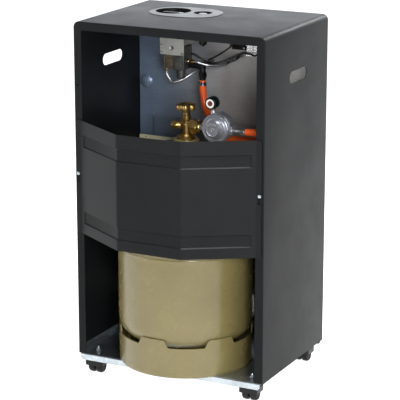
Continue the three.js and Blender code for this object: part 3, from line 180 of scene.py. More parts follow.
def turned(profile, axis, centre, sides=48):
    """A profile of (radius, station) turned about an axis, as on a lathe: its radius stays the same."""
    return shaped(profile, lambda angle, radius: radius, axis, centre, sides)


def stack_outlines(outlines, axis):
    """A closed shape through outlines of (points, station), all with as many points, with flat ends."""
    count = len(outlines[0][0])
    points = [lay(np.asarray(outline)[:, 0], np.asarray(outline)[:, 1], np.full(count, float(station)), axis)
              for outline, station in outlines]
    faces = grid_faces(len(outlines), count, ring=True)
    last = (len(outlines) - 1) * count
    return np.concatenate(points), faces + [list(range(count)), list(range(last, last + count))]


def inset(outline, distance):
    """Moves an outline that runs anticlockwise inwards: each corner goes along the mitre of its edges."""
    outline = np.asarray(outline, dtype=float)
    ahead = np.roll(outline, -1, axis=0) - outline
    ahead /= np.linalg.norm(ahead, axis=1, keepdims=True)
    behind = np.roll(ahead, 1, axis=0)
    normal_a, normal_b = np.stack([-ahead[:, 1], ahead[:, 0]], 1), np.stack([-behind[:, 1], behind[:, 0]], 1)
    mitre = normal_a + normal_b
    return outline + distance * mitre / np.maximum(0.5, (mitre * normal_a).sum(1, keepdims=True))


def block(outline, axis, start, end, edge=0.0):
    """An outline made thick along an axis, with edges rounded off by `edge` in three small steps."""
    outline = np.asarray(outline, dtype=float)
    u, v = outline[:, 0], outline[:, 1]
    if (u * np.roll(v, -1) - v * np.roll(u, -1)).sum() < 0:
        outline = outline[::-1]
    if edge <= 0:
        return stack_outlines([(outline, start), (outline, end)], axis)
    steps = [(edge * (1 - math.sin(a)), edge * (1 - math.cos(a))) for a in np.radians([0, 30, 60, 90])]
    low = [(inset(outline, d), start + h) for d, h in steps]
    high = [(inset(outline, d), end - h) for d, h in steps[::-1]]
    return stack_outlines(low + high, axis)


def box(x0, x1, y0, y1, z0, z1, edge=0.0, radius=0.0, axis="z"):
    """A block between two corners, drawn along one axis, with softened edges."""
    ranges = {"x": (x0, x1), "y": (y0, y1), "z": (z0, z1)}
    across = {"x": ("y", "z"), "y": ("x", "z"), "z": ("x", "y")}[axis]
    outline = rectangle(*ranges[across[0]], *ranges[across[1]], radius, 4)
    return block(outline, axis, *ranges[axis], edge)


def smooth_line(points, steps=8):
    """A smooth line through points: on each span a cubic whose tangents follow its neighbours, with the
    spans timed by the square root of their length, so close points don't make loops."""
    p = np.asarray(points, dtype=float)
    p = np.concatenate([[2 * p[0] - p[1]], p, [2 * p[-1] - p[-2]]])
    made = []
    for p0, p1, p2, p3 in zip(p, p[1:], p[2:], p[3:]):
        t1 = math.sqrt(np.linalg.norm(p1 - p0))
        t2 = t1 + math.sqrt(np.linalg.norm(p2 - p1))
        t3 = t2 + math.sqrt(np.linalg.norm(p3 - p2))
        t = np.linspace(t1, t2, steps, endpoint=False)[:, None]
        a1 = p0 + (p1 - p0) * t / t1
        a2 = p1 + (p2 - p1) * (t - t1) / (t2 - t1)
        a3 = p2 + (p3 - p2) * (t - t2) / (t3 - t2)
        b1 = a1 + (a2 - a1) * t / t2
        b2 = a2 + (a3 - a2) * (t - t1) / (t3 - t1)
        made.append(b1 + (b2 - b1) * (t - t1) / (t2 - t1))
    return np.concatenate(made + [p[-2:-1]])


def tube(path, radius, sides=16):
    """A round section carried along a path. Each ring's frame is the last one turned by the path's own
    bend, so the tube never twists. The radius is one number or one for each point. Both ends are closed."""
    path = np.asarray(path, dtype=float)
    tangent = np.gradient(path, axis=0)
    tangent /= np.linalg.norm(tangent, axis=1, keepdims=True)
    side = np.cross(tangent[0], [0.3, 0.2, 1.0] if abs(tangent[0][2]) < 0.9 else [1.0, 0.2, 0.1])
    sides_of = []
    for direction in tangent:
        side = side - direction * (side @ direction)
        side = side / np.linalg.norm(side)
        sides_of.append(side)
    across = np.array(sides_of)
    up = np.cross(tangent, across)
    angle = np.linspace(0, 2 * np.pi, sides, endpoint=False)
    size = np.broadcast_to(radius, len(path))[:, None, None]
    ring = across[:, None] * np.cos(angle)[:, None] + up[:, None] * np.sin(angle)[:, None]
    points = (path[:, None] + size * ring).reshape(-1, 3)
    last = (len(path) - 1) * sides
    ends = [list(range(sides)), list(range(last, last + sides))]
    return points, grid_faces(len(path), sides, ring=True) + ends


# %% Sheet metal
def inside(points, loop):
    """Says which points lie in a loop: a ray to the right crosses its edges an odd number of times."""
    loop = np.asarray(loop, dtype=float)
    a, b = loop, np.roll(loop, -1, axis=0)
    u, v = points[:, :1], points[:, 1:]
    spans = (a[:, 1] > v) != (b[:, 1] > v)
    rise = np.where(b[:, 1] == a[:, 1], 1.0, b[:, 1] - a[:, 1])
    at = a[:, 0] + (v - a[:, 1]) * (b[:, 0] - a[:, 0]) / rise
    return (spans & (u < at)).sum(axis=1) % 2 == 1


def blank(outline, holes=(), u_lines=(), v_lines=()):
    """The flat blank that a sheet part is cut from: triangles of an outline less its holes, with an edge
    along each line u = constant or v = constant where the sheet will be bent."""
    loops = [np.asarray(outline, dtype=float), *[np.asarray(h, dtype=float) for h in holes]]
    (u0, v0), (u1, v1) = loops[0].min(axis=0), loops[0].max(axis=0)
    points, edges = [], []
    for loop in loops:
        start = len(points)
        points += loop.tolist()
        edges += [(start + i, start + (i + 1) % len(loop)) for i in range(len(loop))]
    for ends in [((u, v0), (u, v1)) for u in u_lines] + [((u0, v), (u1, v)) for v in v_lines]:
        edges.append((len(points), len(points) + 1))
        points += ends
    found = geometry.delaunay_2d_cdt([Vector(p) for p in points], edges, [], 0, 1e-5)
    flat = np.array([tuple(p) for p in found[0]])
    triangles = np.array(found[2])
    middle = flat[triangles].mean(axis=1)
    keep = inside(middle, loops[0])
    for hole in loops[1:]:
        keep &= ~inside(middle, hole)
    return flat, triangles[keep]


def fold(flat, triangles, formed, gauge):
    """Bends a blank and gives it its thickness: formed(u, v, depth) places the outer face at depth 0 and
    the inner face at depth = gauge, and a rim joins the two along each edge that has one triangle only."""
    used, triangles = np.unique(triangles, return_inverse=True)
    triangles = triangles.reshape(-1, 3)
    u, v = flat[used].T
    points = np.concatenate([formed(u, v, 0.0), formed(u, v, gauge)])
    count = len(used)
    edges = np.concatenate([triangles[:, [0, 1]], triangles[:, [1, 2]], triangles[:, [2, 0]]])
    _, first, times = np.unique(np.sort(edges, axis=1), axis=0, return_index=True, return_counts=True)
    a, b = edges[first[times == 1]].T
    rim = np.stack([b, a, a + count, b + count], axis=1)
    return points, triangles.tolist() + (triangles[:, ::-1] + count).tolist() + rim.tolist()


def path_frame(line):
    """Lengths along a bent line, its points and its outward normals, for shapes that follow the line."""
    line = np.asarray(line, dtype=float)
    step = np.diff(line, axis=0)
    length = np.linalg.norm(step, axis=1)
    direction = step / length[:, None]
    side = np.stack([direction[:, 1], -direction[:, 0]], axis=1)
    mitre = np.concatenate([side[:1], side[:-1] + side[1:], side[-1:]])
    mitre /= np.linalg.norm(mitre, axis=1, keepdims=True)
    near = np.concatenate([side[:1], side])
    return np.concatenate([[0], np.cumsum(length)]), line, mitre / (mitre * near).sum(axis=1, keepdims=True)


def follow(framed, s, offset):
    """The point at length s along a framed line, moved outwards by an offset."""
    at, line, side = framed
    return tuple(np.interp(s, at, line[:, k]) + offset * np.interp(s, at, side[:, k]) for k in (0, 1))


def ease(value):
    """A smooth step from 0 to 1: 3 t^2 - 2 t^3, held at its ends."""
    t = np.clip(value, 0, 1)
    return t * t * (3 - 2 * t)

# %% [markdown]
# # Camera, light and floor
# A product is usually photographed on white with large soft lights. The camera stands behind the heater,
# to its right and a little above, and looks down by 15 degrees with a long lens, which keeps the uprights
# nearly parallel. What the camera sees behind the heater is white, but the room that metal reflects is
# darker, as a studio is behind the camera.

# %% Camera
YAW, PITCH = 0.467, 0.265
LENS, SENSOR = 167.098, 36.0
CAMERA_AT = (-1.656227, 3.263298, 1.360601)

look = Vector((math.sin(YAW) * math.cos(PITCH), -math.cos(YAW) * math.cos(PITCH), -math.sin(PITCH)))
lens = bpy.data.cameras.new("camera")
lens.sensor_width = SENSOR
lens.lens = LENS
camera = bpy.data.objects.new("camera", lens)
camera.location = CAMERA_AT
camera.rotation_euler = look.to_track_quat("-Z", "Y").to_euler()
bpy.context.scene.collection.objects.link(camera)
bpy.context.scene.camera = camera
bpy.context.scene.view_settings.view_transform = "Standard"
print("camera looks along", tuple(round(v, 3) for v in look))


# %% Colours and shader nodes
def linear(hexadecimal):
    """An sRGB colour such as "#6b4e2c" as the linear numbers that shaders take: c/12.92 when c is dark,
    else ((c + 0.055) / 1.055) ** 2.4."""
    c = np.array([int(hexadecimal[i:i + 2], 16) for i in (1, 3, 5)]) / 255
    return (*np.where(c <= 0.04045, c / 12.92, ((c + 0.055) / 1.055) ** 2.4).tolist(), 1.0)


def add_node(tree, kind, settings=None, inputs=None):
    """Adds one node, with its settings and its inputs: an input is linked if a socket is given for it."""
    made = tree.nodes.new(kind)
    for name, value in (settings or {}).items():
        setattr(made, name, value)
    for name, value in (inputs or {}).items():
        socket = made.inputs[name]
        if isinstance(value, bpy.types.NodeSocket):
            tree.links.new(value, socket)
        else:
            socket.default_value = value
    return made


# %% Lights, background and floor
world = bpy.data.worlds.new("studio")
bpy.context.scene.world = world
world.use_nodes = True
sky = world.node_tree
sky.nodes.clear()
way = add_node(sky, "ShaderNodeLightPath")
# The room is bright beyond the heater, where the white backdrop stands, and darker behind the camera.
towards = add_node(sky, "ShaderNodeTexCoord").outputs["Generated"]
backdrop = add_node(sky, "ShaderNodeVectorMath", {"operation": "DOT_PRODUCT"}, {
    0: towards, 1: (0.35, -0.93, 0.0)})
glow = add_node(sky, "ShaderNodeMapRange", {"interpolation_type": "SMOOTHSTEP"}, {
    "Value": backdrop.outputs["Value"], "From Min": 0.1, "From Max": 0.9, "To Min": 0.16, "To Max": 2.1})
room = add_node(sky, "ShaderNodeBackground", inputs={
    "Color": linear("#e8ecf2"), "Strength": glow.outputs[0]})
white = add_node(sky, "ShaderNodeBackground", inputs={"Color": (1, 1, 1, 1), "Strength": 1.0})
seen = add_node(sky, "ShaderNodeMixShader", inputs={
    0: way.outputs["Is Camera Ray"], 1: room.outputs[0], 2: white.outputs[0]})
add_node(sky, "ShaderNodeOutputWorld", inputs={"Surface": seen.outputs[0]})


def softbox(name, at, target, width, height, power):
    """A flat light that faces a target, as a softbox on a stand does."""
    data = bpy.data.lights.new(name, "AREA")
    data.shape = "RECTANGLE"
    data.size, data.size_y = width, height
    data.energy = power
    made = bpy.data.objects.new(name, data)
    made.location = at
    made.rotation_euler = (Vector(target) - Vector(at)).to_track_quat("-Z", "Y").to_euler()
    bpy.context.scene.collection.objects.link(made)
    return made


# A weak light from the left and a stronger one from the right-hand back, which reaches into the
# compartment. The one overhead is the strongest, and the one in front stands across from the camera, to
# give the top a sheen.
softbox("left_softbox", (2.6, 2.1, 1.0), (0.0, 0.1, 0.4), 1.0, 1.5, 22)
softbox("top_softbox", (-0.6, 0.55, 2.9), (0.0, 0.1, 0.4), 1.1, 1.1, 130)
softbox("right_softbox", (-2.0, 2.9, 1.35), (0.0, 0.0, 0.6), 0.9, 1.0, 92)
softbox("front_softbox", (-0.9, -2.6, 2.0), (-0.2, 0.0, 0.7), 1.3, 0.6, 46)

FLOOR_HALF = 60.0
floor_mesh = bpy.data.meshes.new("studio_floor")
floor_corners = [(-FLOOR_HALF, -FLOOR_HALF, 0), (FLOOR_HALF, -FLOOR_HALF, 0), (FLOOR_HALF, FLOOR_HALF, 0),
                 (-FLOOR_HALF, FLOOR_HALF, 0)]
floor_mesh.from_pydata(floor_corners, [], [[0, 1, 2, 3]])
floor_look = bpy.data.materials.new("white_floor_paper")
floor_look.use_nodes = True
paper = floor_look.node_tree
grain = add_node(paper, "ShaderNodeTexNoise", inputs={"Scale": 40.0, "Detail": 4.0})
tone = add_node(paper, "ShaderNodeMix", {"data_type": "RGBA"}, {
    0: grain.outputs["Fac"], 6: linear("#b2b2b2"), 7: linear("#bcbcbc")})
shade = paper.nodes["Principled BSDF"]
shade.inputs["Roughness"].default_value = 0.95
shade.inputs["Specular IOR Level"].default_value = 0.0
shade.inputs["Emission Color"].default_value = (1, 1, 1, 1)
shade.inputs["Emission Strength"].default_value = 0.92
paper.links.new(tone.outputs[2], shade.inputs["Base Color"])
floor_mesh.materials.append(floor_look)
floor = bpy.data.objects.new("studio_floor", floor_mesh)
bpy.context.scene.collection.objects.link(floor)

# %% [markdown]
# # Finishes
# Each finish starts from the real one: powder coat on folded steel, zinc on the base, enamel on the
# cylinder, brass and cast alloy on the gas fittings. A finish has a colour that drifts a little over
# patches of 8 to 120 mm, a grain of a size in millimetres, and a roughness that changes with the patches,
# because no made surface is even. Real grains are finer than a picture of this size can show, so they are
# drawn at 1.5 mm or more.

# %% One recipe for plain finishes
def finish(name, light, dark, roughness, metallic=0.0, patch=60.0, grain=3.0, relief=0.1, uneven=0.08,
           stretch=(1, 1, 1), ior=None, specular=None):
    """A finish whose colour runs between two sRGB colours over patches (mm), with a grain (mm) that is
    raised by relief (mm). Stretch draws the grain out along an axis, as brushing and rolling do."""
    made = bpy.data.materials.new(name)
    made.use_nodes = True
    tree = made.node_tree
    shader = tree.nodes["Principled BSDF"]
    place = add_node(tree, "ShaderNodeTexCoord").outputs["Object"]
    patches = add_node(tree, "ShaderNodeTexNoise", inputs={
        "Vector": place, "Scale": 1000 / patch, "Detail": 5.0, "Roughness": 0.6})
    drawn = add_node(tree, "ShaderNodeMapping", inputs={"Vector": place, "Scale": stretch})
    grains = add_node(tree, "ShaderNodeTexNoise", inputs={
        "Vector": drawn.outputs[0], "Scale": 1000 / grain, "Detail": 2.0})
    both = add_node(tree, "ShaderNodeMath", {"operation": "MULTIPLY_ADD"}, {
        0: grains.outputs["Fac"], 1: 0.5, 2: patches.outputs["Fac"]})
    spread = add_node(tree, "ShaderNodeMapRange", inputs={
        "Value": both.outputs[0], "From Min": 0.45, "From Max": 1.05, "To Min": 0.0, "To Max": 1.0})
    colour = add_node(tree, "ShaderNodeMix", {"data_type": "RGBA"}, {
        0: spread.outputs[0], 6: linear(dark), 7: linear(light)})
    rough = add_node(tree, "ShaderNodeMapRange", inputs={
        "Value": patches.outputs["Fac"], "From Min": 0.3, "From Max": 0.7,
        "To Min": max(0.02, roughness - uneven), "To Max": min(1.0, roughness + uneven)})
    bump = add_node(tree, "ShaderNodeBump", inputs={
        "Height": grains.outputs["Fac"], "Distance": relief * MM, "Strength": 1.0})
    tree.links.new(colour.outputs[2], shader.inputs["Base Color"])
    tree.links.new(rough.outputs[0], shader.inputs["Roughness"])
    tree.links.new(bump.outputs[0], shader.inputs["Normal"])
    shader.inputs["Metallic"].default_value = metallic
    if ior:
        shader.inputs["IOR"].default_value = ior
    if specular is not None:
        shader.inputs["Specular IOR Level"].default_value = specular
    return made


def opened(made):
    """What a second colour needs: a finish's tree and shader, its plain colour, and the piece's own axes."""
    tree = made.node_tree
    shader = tree.nodes["Principled BSDF"]
    place = add_node(tree, "ShaderNodeTexCoord").outputs["Object"]
    return tree, shader, shader.inputs["Base Color"].links[0].from_socket, place


# %% The heater's finishes
# Powder coat: sprayed and baked polyester, a fine orange peel with a satin sheen.
powder_coat = finish("black_powder_coat", "#131415", "#0d0e0f", 0.42, patch=90, grain=2.2, relief=0.05,
                     uneven=0.05, ior=1.5, specular=0.1)
# The rear cover has the same coat, drawn a little lighter: painted light, for the light that falls on it.
cover_coat_painted_light = finish("black_powder_coat_painted_light", "#18191a", "#121314", 0.4, patch=90, grain=2.2, relief=0.05,
                    uneven=0.05, ior=1.5, specular=0.1)
# Zinc plate: bright, with faint cloudy spangle.
zinc_plate = finish("bright_zinc_plate", "#c3cbd0", "#8f989e", 0.26, metallic=1.0, patch=18, grain=5,
                    relief=0.03)
# Zinc on the rail, drawn pale cream and barely metallic: the cream is painted light and a painted reflection
# of the olive cylinder. It clouds in patches.
yellow_zinc = finish("cream_zinc_painted_reflection", "#f6f0d2", "#ded6a8", 0.4, metallic=0.15, patch=14, grain=4,
                     relief=0.03)
# Bright rolled sheet: aluminised steel, rolled along its length, a blurred mirror.
bright_sheet = finish("bright_rolled_sheet", "#b4b8be", "#8f949c", 0.33, metallic=1.0, patch=120, grain=2.5,
                      relief=0.02, uneven=0.06, stretch=(0.12, 1, 1))
grey_steel = finish("plain_grey_steel", "#b0b0aa", "#8f8f8a", 0.42, metallic=0.6, patch=25, grain=3,
                    relief=0.05)
olive_enamel = finish("olive_cylinder_enamel", "#746a43", "#6a603c", 0.26, patch=60, grain=3.5, relief=0.01,
                      uneven=0.05, ior=1.5)
brass = finish("turned_brass", "#c2a468", "#927443", 0.33, metallic=1.0, patch=12, grain=2, relief=0.03)
cast_alloy = finish("lacquered_cast_alloy", "#b5b7bf", "#93959e", 0.4, metallic=0.65, patch=16, grain=1.6,
                    relief=0.12)
dark_casting = finish("dark_cast_alloy", "#5a5a58", "#3c3c3b", 0.45, metallic=0.6, patch=14, grain=2,
                      relief=0.12)
drawn_aluminium = finish("drawn_aluminium", "#bcbdc0", "#96989b", 0.3, metallic=0.9, patch=20, grain=2,
                         relief=0.003)
orange_rubber = finish("orange_gas_hose_rubber", "#ff6a26", "#f05a1c", 0.4, patch=30, grain=3, relief=0.05,
                       ior=1.5)
black_plastic = finish("black_moulded_plastic", "#0b0c0d", "#070808", 0.38, patch=30, grain=1.8, relief=0.02,
                       ior=1.5, specular=0.25)
chrome_wire = finish("chromed_wire", "#e2e2e2", "#c8c8c8", 0.12, metallic=1.0, patch=30, grain=3,
                     relief=0.01)
fired_ceramic = finish("porous_fired_ceramic", "#ece6da", "#d6cfc0", 0.85, patch=20, grain=1.5, relief=0.2)
lead_sheath = finish("black_lead_sheath", "#161617", "#0c0c0d", 0.5, patch=12, grain=1.5, relief=0.05)

CAD_FINISHES = {
    "black_powder_coat": powder_coat, "zinc_plate": zinc_plate, "yellow_zinc": yellow_zinc,
    "bright_sheet": bright_sheet, "grey_steel": grey_steel, "olive_paint": olive_enamel, "brass": brass,
    "grey_casting": cast_alloy, "dark_casting": dark_casting, "aluminium_tube": drawn_aluminium,
    "orange_rubber": orange_rubber, "black_plastic": black_plastic,
    "wire_chrome": chrome_wire, "ceramic": fired_ceramic, "lead_sheath": lead_sheath,
}
print(len(CAD_FINISHES), "finishes")

# %% [markdown]
# # The cabinet shell
# One strip of sheet steel is bent up at both sides and over the top. The bends between the sides and the
# top are wide, and a narrow flange is folded in all round the open back, and another round the front.
# It is drawn as a flat blank with its handle slots, screw holes and oval opening, and then bent: along
# the strip first, and then over at the two flanges. A blank keeps the holes true, as a press does.

# %% Cabinet shell
GAUGE = 1.2
BASE_TOP = 43.0
WALL_FOOT = BASE_TOP - GAUGE
TOP_BEND = 12.0
FOLD_BEND = 2.2
REAR_FLANGE = 17.5
FRONT_FLANGE = 12.0
FLANGE_FOOT = BASE_TOP + 0.3

wall = TOP - TOP_BEND - WALL_FOOT
bend_length = math.pi / 2 * TOP_BEND
strip_stations = np.cumsum([0, wall, bend_length, 2 * (SIDE - TOP_BEND), bend_length, wall])
fold_length = math.pi / 2 * FOLD_BEND
rear_fold = REAR - FOLD_BEND
rear_edge = rear_fold + fold_length + REAR_FLANGE - FOLD_BEND
front_edge = -(rear_fold + fold_length + FRONT_FLANGE - FOLD_BEND)


def wrap(s, inward):
    """A point on the strip, s along it from the left foot: up the wall, a quarter circle of the bend's
    radius less `inward`, across the top, and the same down the other side. Further in than the bend's
    radius, the two straight parts meet in a mitre."""
    _, s1, s2, s3, s4, _ = strip_stations
    a = np.clip((s - s1) / TOP_BEND, 0, np.pi / 2)
    b = np.clip((s - s3) / TOP_BEND, 0, np.pi / 2)
    r = np.maximum(TOP_BEND - inward, 0)
    past = np.maximum(inward - TOP_BEND, 0)
    half = SIDE - TOP_BEND - past
    x = np.clip(SIDE - TOP_BEND - np.clip(s - s2, 0, s3 - s2), -half, half) + r * np.cos(a) - r * np.sin(b)
    up = WALL_FOOT + np.minimum(s, s1) - np.maximum(s - s4, 0)
    z = np.minimum(up, TOP - TOP_BEND - past) + r * np.sin(a) - r * (1 - np.cos(b))
    return x, z


def shell_form(s, t, depth):
    """Bends the strip. Past each fold line the sheet turns a quarter circle and then runs inwards."""
    run = np.abs(t) - rear_fold
    angle = np.clip(run / FOLD_BEND, 0, np.pi / 2)
    flange = np.maximum(run - fold_length, 0)
    inward = FOLD_BEND - (FOLD_BEND - depth) * np.cos(angle) + flange
    reach = rear_fold + (FOLD_BEND - depth) * np.sin(angle)
    x, z = wrap(s, inward)
    return np.stack([x, np.where(run > 0, np.sign(t) * reach, t), z], axis=1)


def strip_at_height(z, left=True):
    return z - WALL_FOOT if left else strip_stations[5] - (z - WALL_FOOT)


def flange_at(inward):
    """Where a point of the rear flange, this far in from the outer face, lies across the blank."""
    return rear_fold + fold_length + inward - FOLD_BEND


end = strip_stations[5]
foot = FLANGE_FOOT - WALL_FOOT
shell_blank = [(0, -rear_fold), (foot, -rear_fold), (foot, front_edge), (end - foot, front_edge),
               (end - foot, -rear_fold), (end, -rear_fold), (end, rear_fold), (end - foot, rear_fold),
               (end - foot, rear_edge), (foot, rear_edge), (foot, rear_fold), (0, rear_fold)]
SLOT_Z = TOP - 99
SLOT_Y = -4.0
SLOT_LENGTH, SLOT_HEIGHT = 82.0, 24.0
PANEL_X, PANEL_Y, PANEL_HALF_X, PANEL_HALF_Y = 56.0, -39.0, 76.0, 59.0
PANEL_ROUNDNESS = 2.4


def oval(u, v, half_u, half_v, sides=64):
    """Between an ellipse and a rectangle: |u/a|^n + |v/b|^n = 1 with n = 2.4."""
    c, s = circle(0, 0, 1, sides).T
    power = 2 / PANEL_ROUNDNESS
    return np.stack([u + half_u * np.sign(c) * np.abs(c) ** power,
                     v + half_v * np.sign(s) * np.abs(s) ** power], 1)


slots_in_walls = []
for left in (True, False):
    s = strip_at_height(SLOT_Z, left)
    slots_in_walls.append(rectangle(s - SLOT_HEIGHT / 2, s + SLOT_HEIGHT / 2, SLOT_Y - SLOT_LENGTH / 2,
                                    SLOT_Y + SLOT_LENGTH / 2, SLOT_HEIGHT / 2 - 0.01, 8))
top_middle = (strip_stations[2] + strip_stations[3]) / 2
panel_hole = oval(top_middle - PANEL_X, PANEL_Y, PANEL_HALF_X - 4, PANEL_HALF_Y - 4)
SCREW_X = SIDE - 8
SCREW_Z = 429.0
screw_holes = [circle(strip_at_height(z, left), flange_at(8), 2.2, 12)
               for z, left in ((SCREW_Z, True), (SCREW_Z, False), (TOP - 129, True))]
bends = [np.linspace(strip_stations[i], strip_stations[i + 1], 9) for i in (1, 3)]
folds = np.linspace(rear_fold, rear_fold + fold_length, 5)
shell_flat = blank(shell_blank, [*slots_in_walls, panel_hole, *screw_holes], np.concatenate(bends),
                   np.concatenate([-folds, folds]))
piece("folded_cabinet_shell", *fold(*shell_flat, shell_form, GAUGE), powder_coat,
              "black_powder_coat", "cabinet_shell", sharp=30)

# %% [markdown]
# # The rear cover
# A band of the same sheet across the back, bent outwards in three facets, so that the round cylinder has
# room. Two shallow beads are pressed along it, which stiffen it. It hangs on two screws by keyholes in
# its side flanges. The bent line is drawn first, in plan, and the blank is wrapped on it; a bead moves the
# sheet outwards by a smooth step on each of its sides.

# %% Rear cover
COVER_FOOT, COVER_TOP = 304.0, 539.0
COVER_FACE = REAR + 0.3 + GAUGE
COVER_REACH = REAR + 79.5
COVER_EDGE, COVER_SHOULDER, COVER_FOLD = SIDE - 4, SIDE - 16, 70.0
BEAD_RISE, BEAD_HALF, BEAD_SLOPE = 2.4, 13.0, 2.0
BEADS = (COVER_TOP - 41, COVER_FOOT + 34.5)
KEYHOLE_DROP, KEYHOLE_RADIUS = 14.0, 4.5

cover_corners = [(COVER_EDGE, COVER_FACE), (COVER_SHOULDER, COVER_FACE), (COVER_FOLD, COVER_REACH)]
cover_corners += [(-x, y) for x, y in cover_corners[::-1]]
cover_path = path_frame(soften(cover_corners, 9, 8)[::-1])
cover_length = cover_path[0][-1]
shoulder = COVER_EDGE - COVER_SHOULDER
bead_end = shoulder + 8


def cover_form(s, z, depth):
    """Follows the bent line; outwards by the beads' rise, which eases in over each bead's slope."""
    across = np.max([ease((BEAD_HALF - np.abs(z - middle)) / BEAD_SLOPE) for middle in BEADS], axis=0)
    along = ease((cover_length / 2 - bead_end - np.abs(s - cover_length / 2)) / (2 * BEAD_SLOPE))
    x, y = follow(cover_path, s, BEAD_RISE * across * along - depth)
    return np.stack([x, y, z + 0 * x], axis=1)


keyholes = []
for s in (COVER_EDGE - SCREW_X, cover_length - (COVER_EDGE - SCREW_X)):
    wide, narrow = KEYHOLE_RADIUS, 2.3
    meet = math.degrees(math.asin(narrow / wide))
    keyholes.append(np.concatenate([arc(s, SCREW_Z, narrow, 0, 180, 8),
                                    arc(s, SCREW_Z - KEYHOLE_DROP, wide, 90 + meet, 450 - meet, 16)]))
bead_lines = [middle + side * (BEAD_HALF - BEAD_SLOPE * part)
              for middle in BEADS for side in (-1, 1) for part in (-0.4, 0, 0.25, 0.5, 0.75, 1, 1.4)]
end_lines = [e for part in np.linspace(0, 1, 5) for e in
             (bead_end + 2 * BEAD_SLOPE * part, cover_length - bead_end - 2 * BEAD_SLOPE * part)]
cover_flat = blank(rectangle(0, cover_length, COVER_FOOT, COVER_TOP, 4, 3), keyholes,
                   [*cover_path[0][1:-1], *end_lines], bead_lines)
piece("folded_rear_cover", *fold(*cover_flat, cover_form, GAUGE), cover_coat_painted_light,
              "black_powder_coat", "rear_cover", body="rear_cover", sharp=30)

# %% Cover screws
for name, x in (("left", SCREW_X), ("right", -SCREW_X)):
    base = COVER_FACE + 0.3
    head = [(0, base - 7), (1.9, base - 7), (1.9, base), (3.7, base), (3.7, base + 0.7), (3.2, base + 1.6),
            (2.2, base + 1.95), (1.1, base + 2.0), (0.9, base + 1.2), (0, base + 1.2)]
    piece(f"cross_head_screw_{name}", *turned(head, "y", (x, 0, SCREW_Z), 24), zinc_plate, "zinc_plate",
          f"cover_screw_{name}")

# %% [markdown]
# # The gas cylinder
# A cylinder for camping gas is two deep-drawn steel cups, welded round the middle, with a notched foot
# ring and a threaded collar for the valve. Its ends are not half balls: a tight knuckle runs into a much
# flatter crown. So its profile is straight, an arc of 45 mm, an arc of about 313 mm, and the collar.

# %% Gas cylinder
CYLINDER_X, CYLINDER_Y, CYLINDER_R = 1.0, REAR - 83.5, 139.0
RING_FOOT, RING_TOP = BASE_TOP + 0.3, BASE_TOP + 78.3
LOWER_Z, UPPER_Z = RING_TOP + 18.7, RING_TOP + 311.7
KNUCKLE, HEAD_RISE = 45.0, 62.0
COLLAR_R, COLLAR_TOP = 27.0, UPPER_Z + HEAD_RISE + 10


def head(inward, mouth):
    """Half of a dished end above its shoulder, from the wall to the mouth's radius. The crown's centre
    is on the axis and the two arcs share a tangent where they meet."""
    across = CYLINDER_R - KNUCKLE
    crown = (across ** 2 - KNUCKLE ** 2 + HEAD_RISE ** 2) / (2 * (HEAD_RISE - KNUCKLE))
    meet = math.degrees(math.acos(across / (crown - KNUCKLE)))
    stop = math.degrees(math.acos(mouth / (crown - inward)))
    return np.concatenate([arc(across, 0, KNUCKLE - inward, 0, meet, 10),
                           arc(0, HEAD_RISE - crown, crown - inward, meet, stop, 10)[1:]])


weld = (LOWER_Z + UPPER_Z) / 2
bead = [(CYLINDER_R + 1.25 * math.cos(a) ** 0.7, weld + 3.5 * math.sin(a))
        for a in np.linspace(-1.57, 1.57, 9)]
cup = [(CYLINDER_R, weld - 9), (CYLINDER_R - 0.15, weld - 5)]
outer_low = head(0, 0.01) * [1, -1] + [0, LOWER_Z]
outer_high = head(0, COLLAR_R + 3) + [0, UPPER_Z]
collar = soften([outer_high[-1], (COLLAR_R, outer_high[-1][1] + 2), (COLLAR_R, COLLAR_TOP),
                 (13, COLLAR_TOP)],
                [0, 2.5, 1.6, 0], 4)
inner_high = (head(3, 13) + [0, UPPER_Z])[::-1]
inner_low = head(3, 0.01) * [1, -1] + [0, LOWER_Z]
vessel = np.concatenate([outer_low[::-1], cup, bead, [(r, 2 * weld - z) for r, z in cup[::-1]], outer_high,
                         collar[1:], inner_high, inner_low])
piece("dished_gas_cylinder", *turned(vessel, "z", (CYLINDER_X, CYLINDER_Y, 0), 96), olive_enamel,
                 "olive_paint", "gas_cylinder", sharp=38)

# %% Foot ring
NOTCHES, NOTCH_DEPTH, NOTCH_TOP, NOTCH_FOOT, NOTCH_TURN = 6, 16.0, 92.0, 76.0, 27.0
RING_R, RING_WALL = CYLINDER_R - 1, 3.0


def ring_form(s, z, depth):
    """Rolls the blank round the cylinder's axis: the angle is the arc's length over the radius. The foot
    is rolled in a little, so that the ring stands on a rounded edge."""
    tuck = 1.6 * ease((RING_FOOT + 6 - z) / 6)
    angle = s / RING_R
    r = RING_R - depth - tuck
    return np.stack([CYLINDER_X + r * np.cos(angle), CYLINDER_Y + r * np.sin(angle), z + 0 * r], axis=1)


ring_length = 2 * math.pi * RING_R
pitch = ring_length / NOTCHES
turn = math.radians(90 + NOTCH_TURN) * RING_R
ring_outline = [(0, RING_FOOT), (ring_length, RING_FOOT)]
middles = sorted(((turn + i * pitch) % ring_length for i in range(NOTCHES)), reverse=True)
corners, radii = [(ring_length, RING_TOP)], [0]
for middle in middles:
    corners += [(middle + NOTCH_TOP / 2, RING_TOP), (middle + NOTCH_FOOT / 2, RING_TOP - NOTCH_DEPTH),
                (middle - NOTCH_FOOT / 2, RING_TOP - NOTCH_DEPTH), (middle - NOTCH_TOP / 2, RING_TOP)]
    radii += [5, 5, 5, 5]
corners.append((0, RING_TOP))
radii.append(0)
rim = soften(corners, radii, 5)
ring_flat = blank(np.concatenate([ring_outline, rim]), (), np.linspace(0, ring_length, 121)[1:-1],
                  [RING_FOOT + h for h in (1, 2, 3, 4, 6)])
piece("notched_foot_ring", *fold(*ring_flat, ring_form, RING_WALL), olive_enamel, "olive_paint", "foot_ring",
      sharp=40)


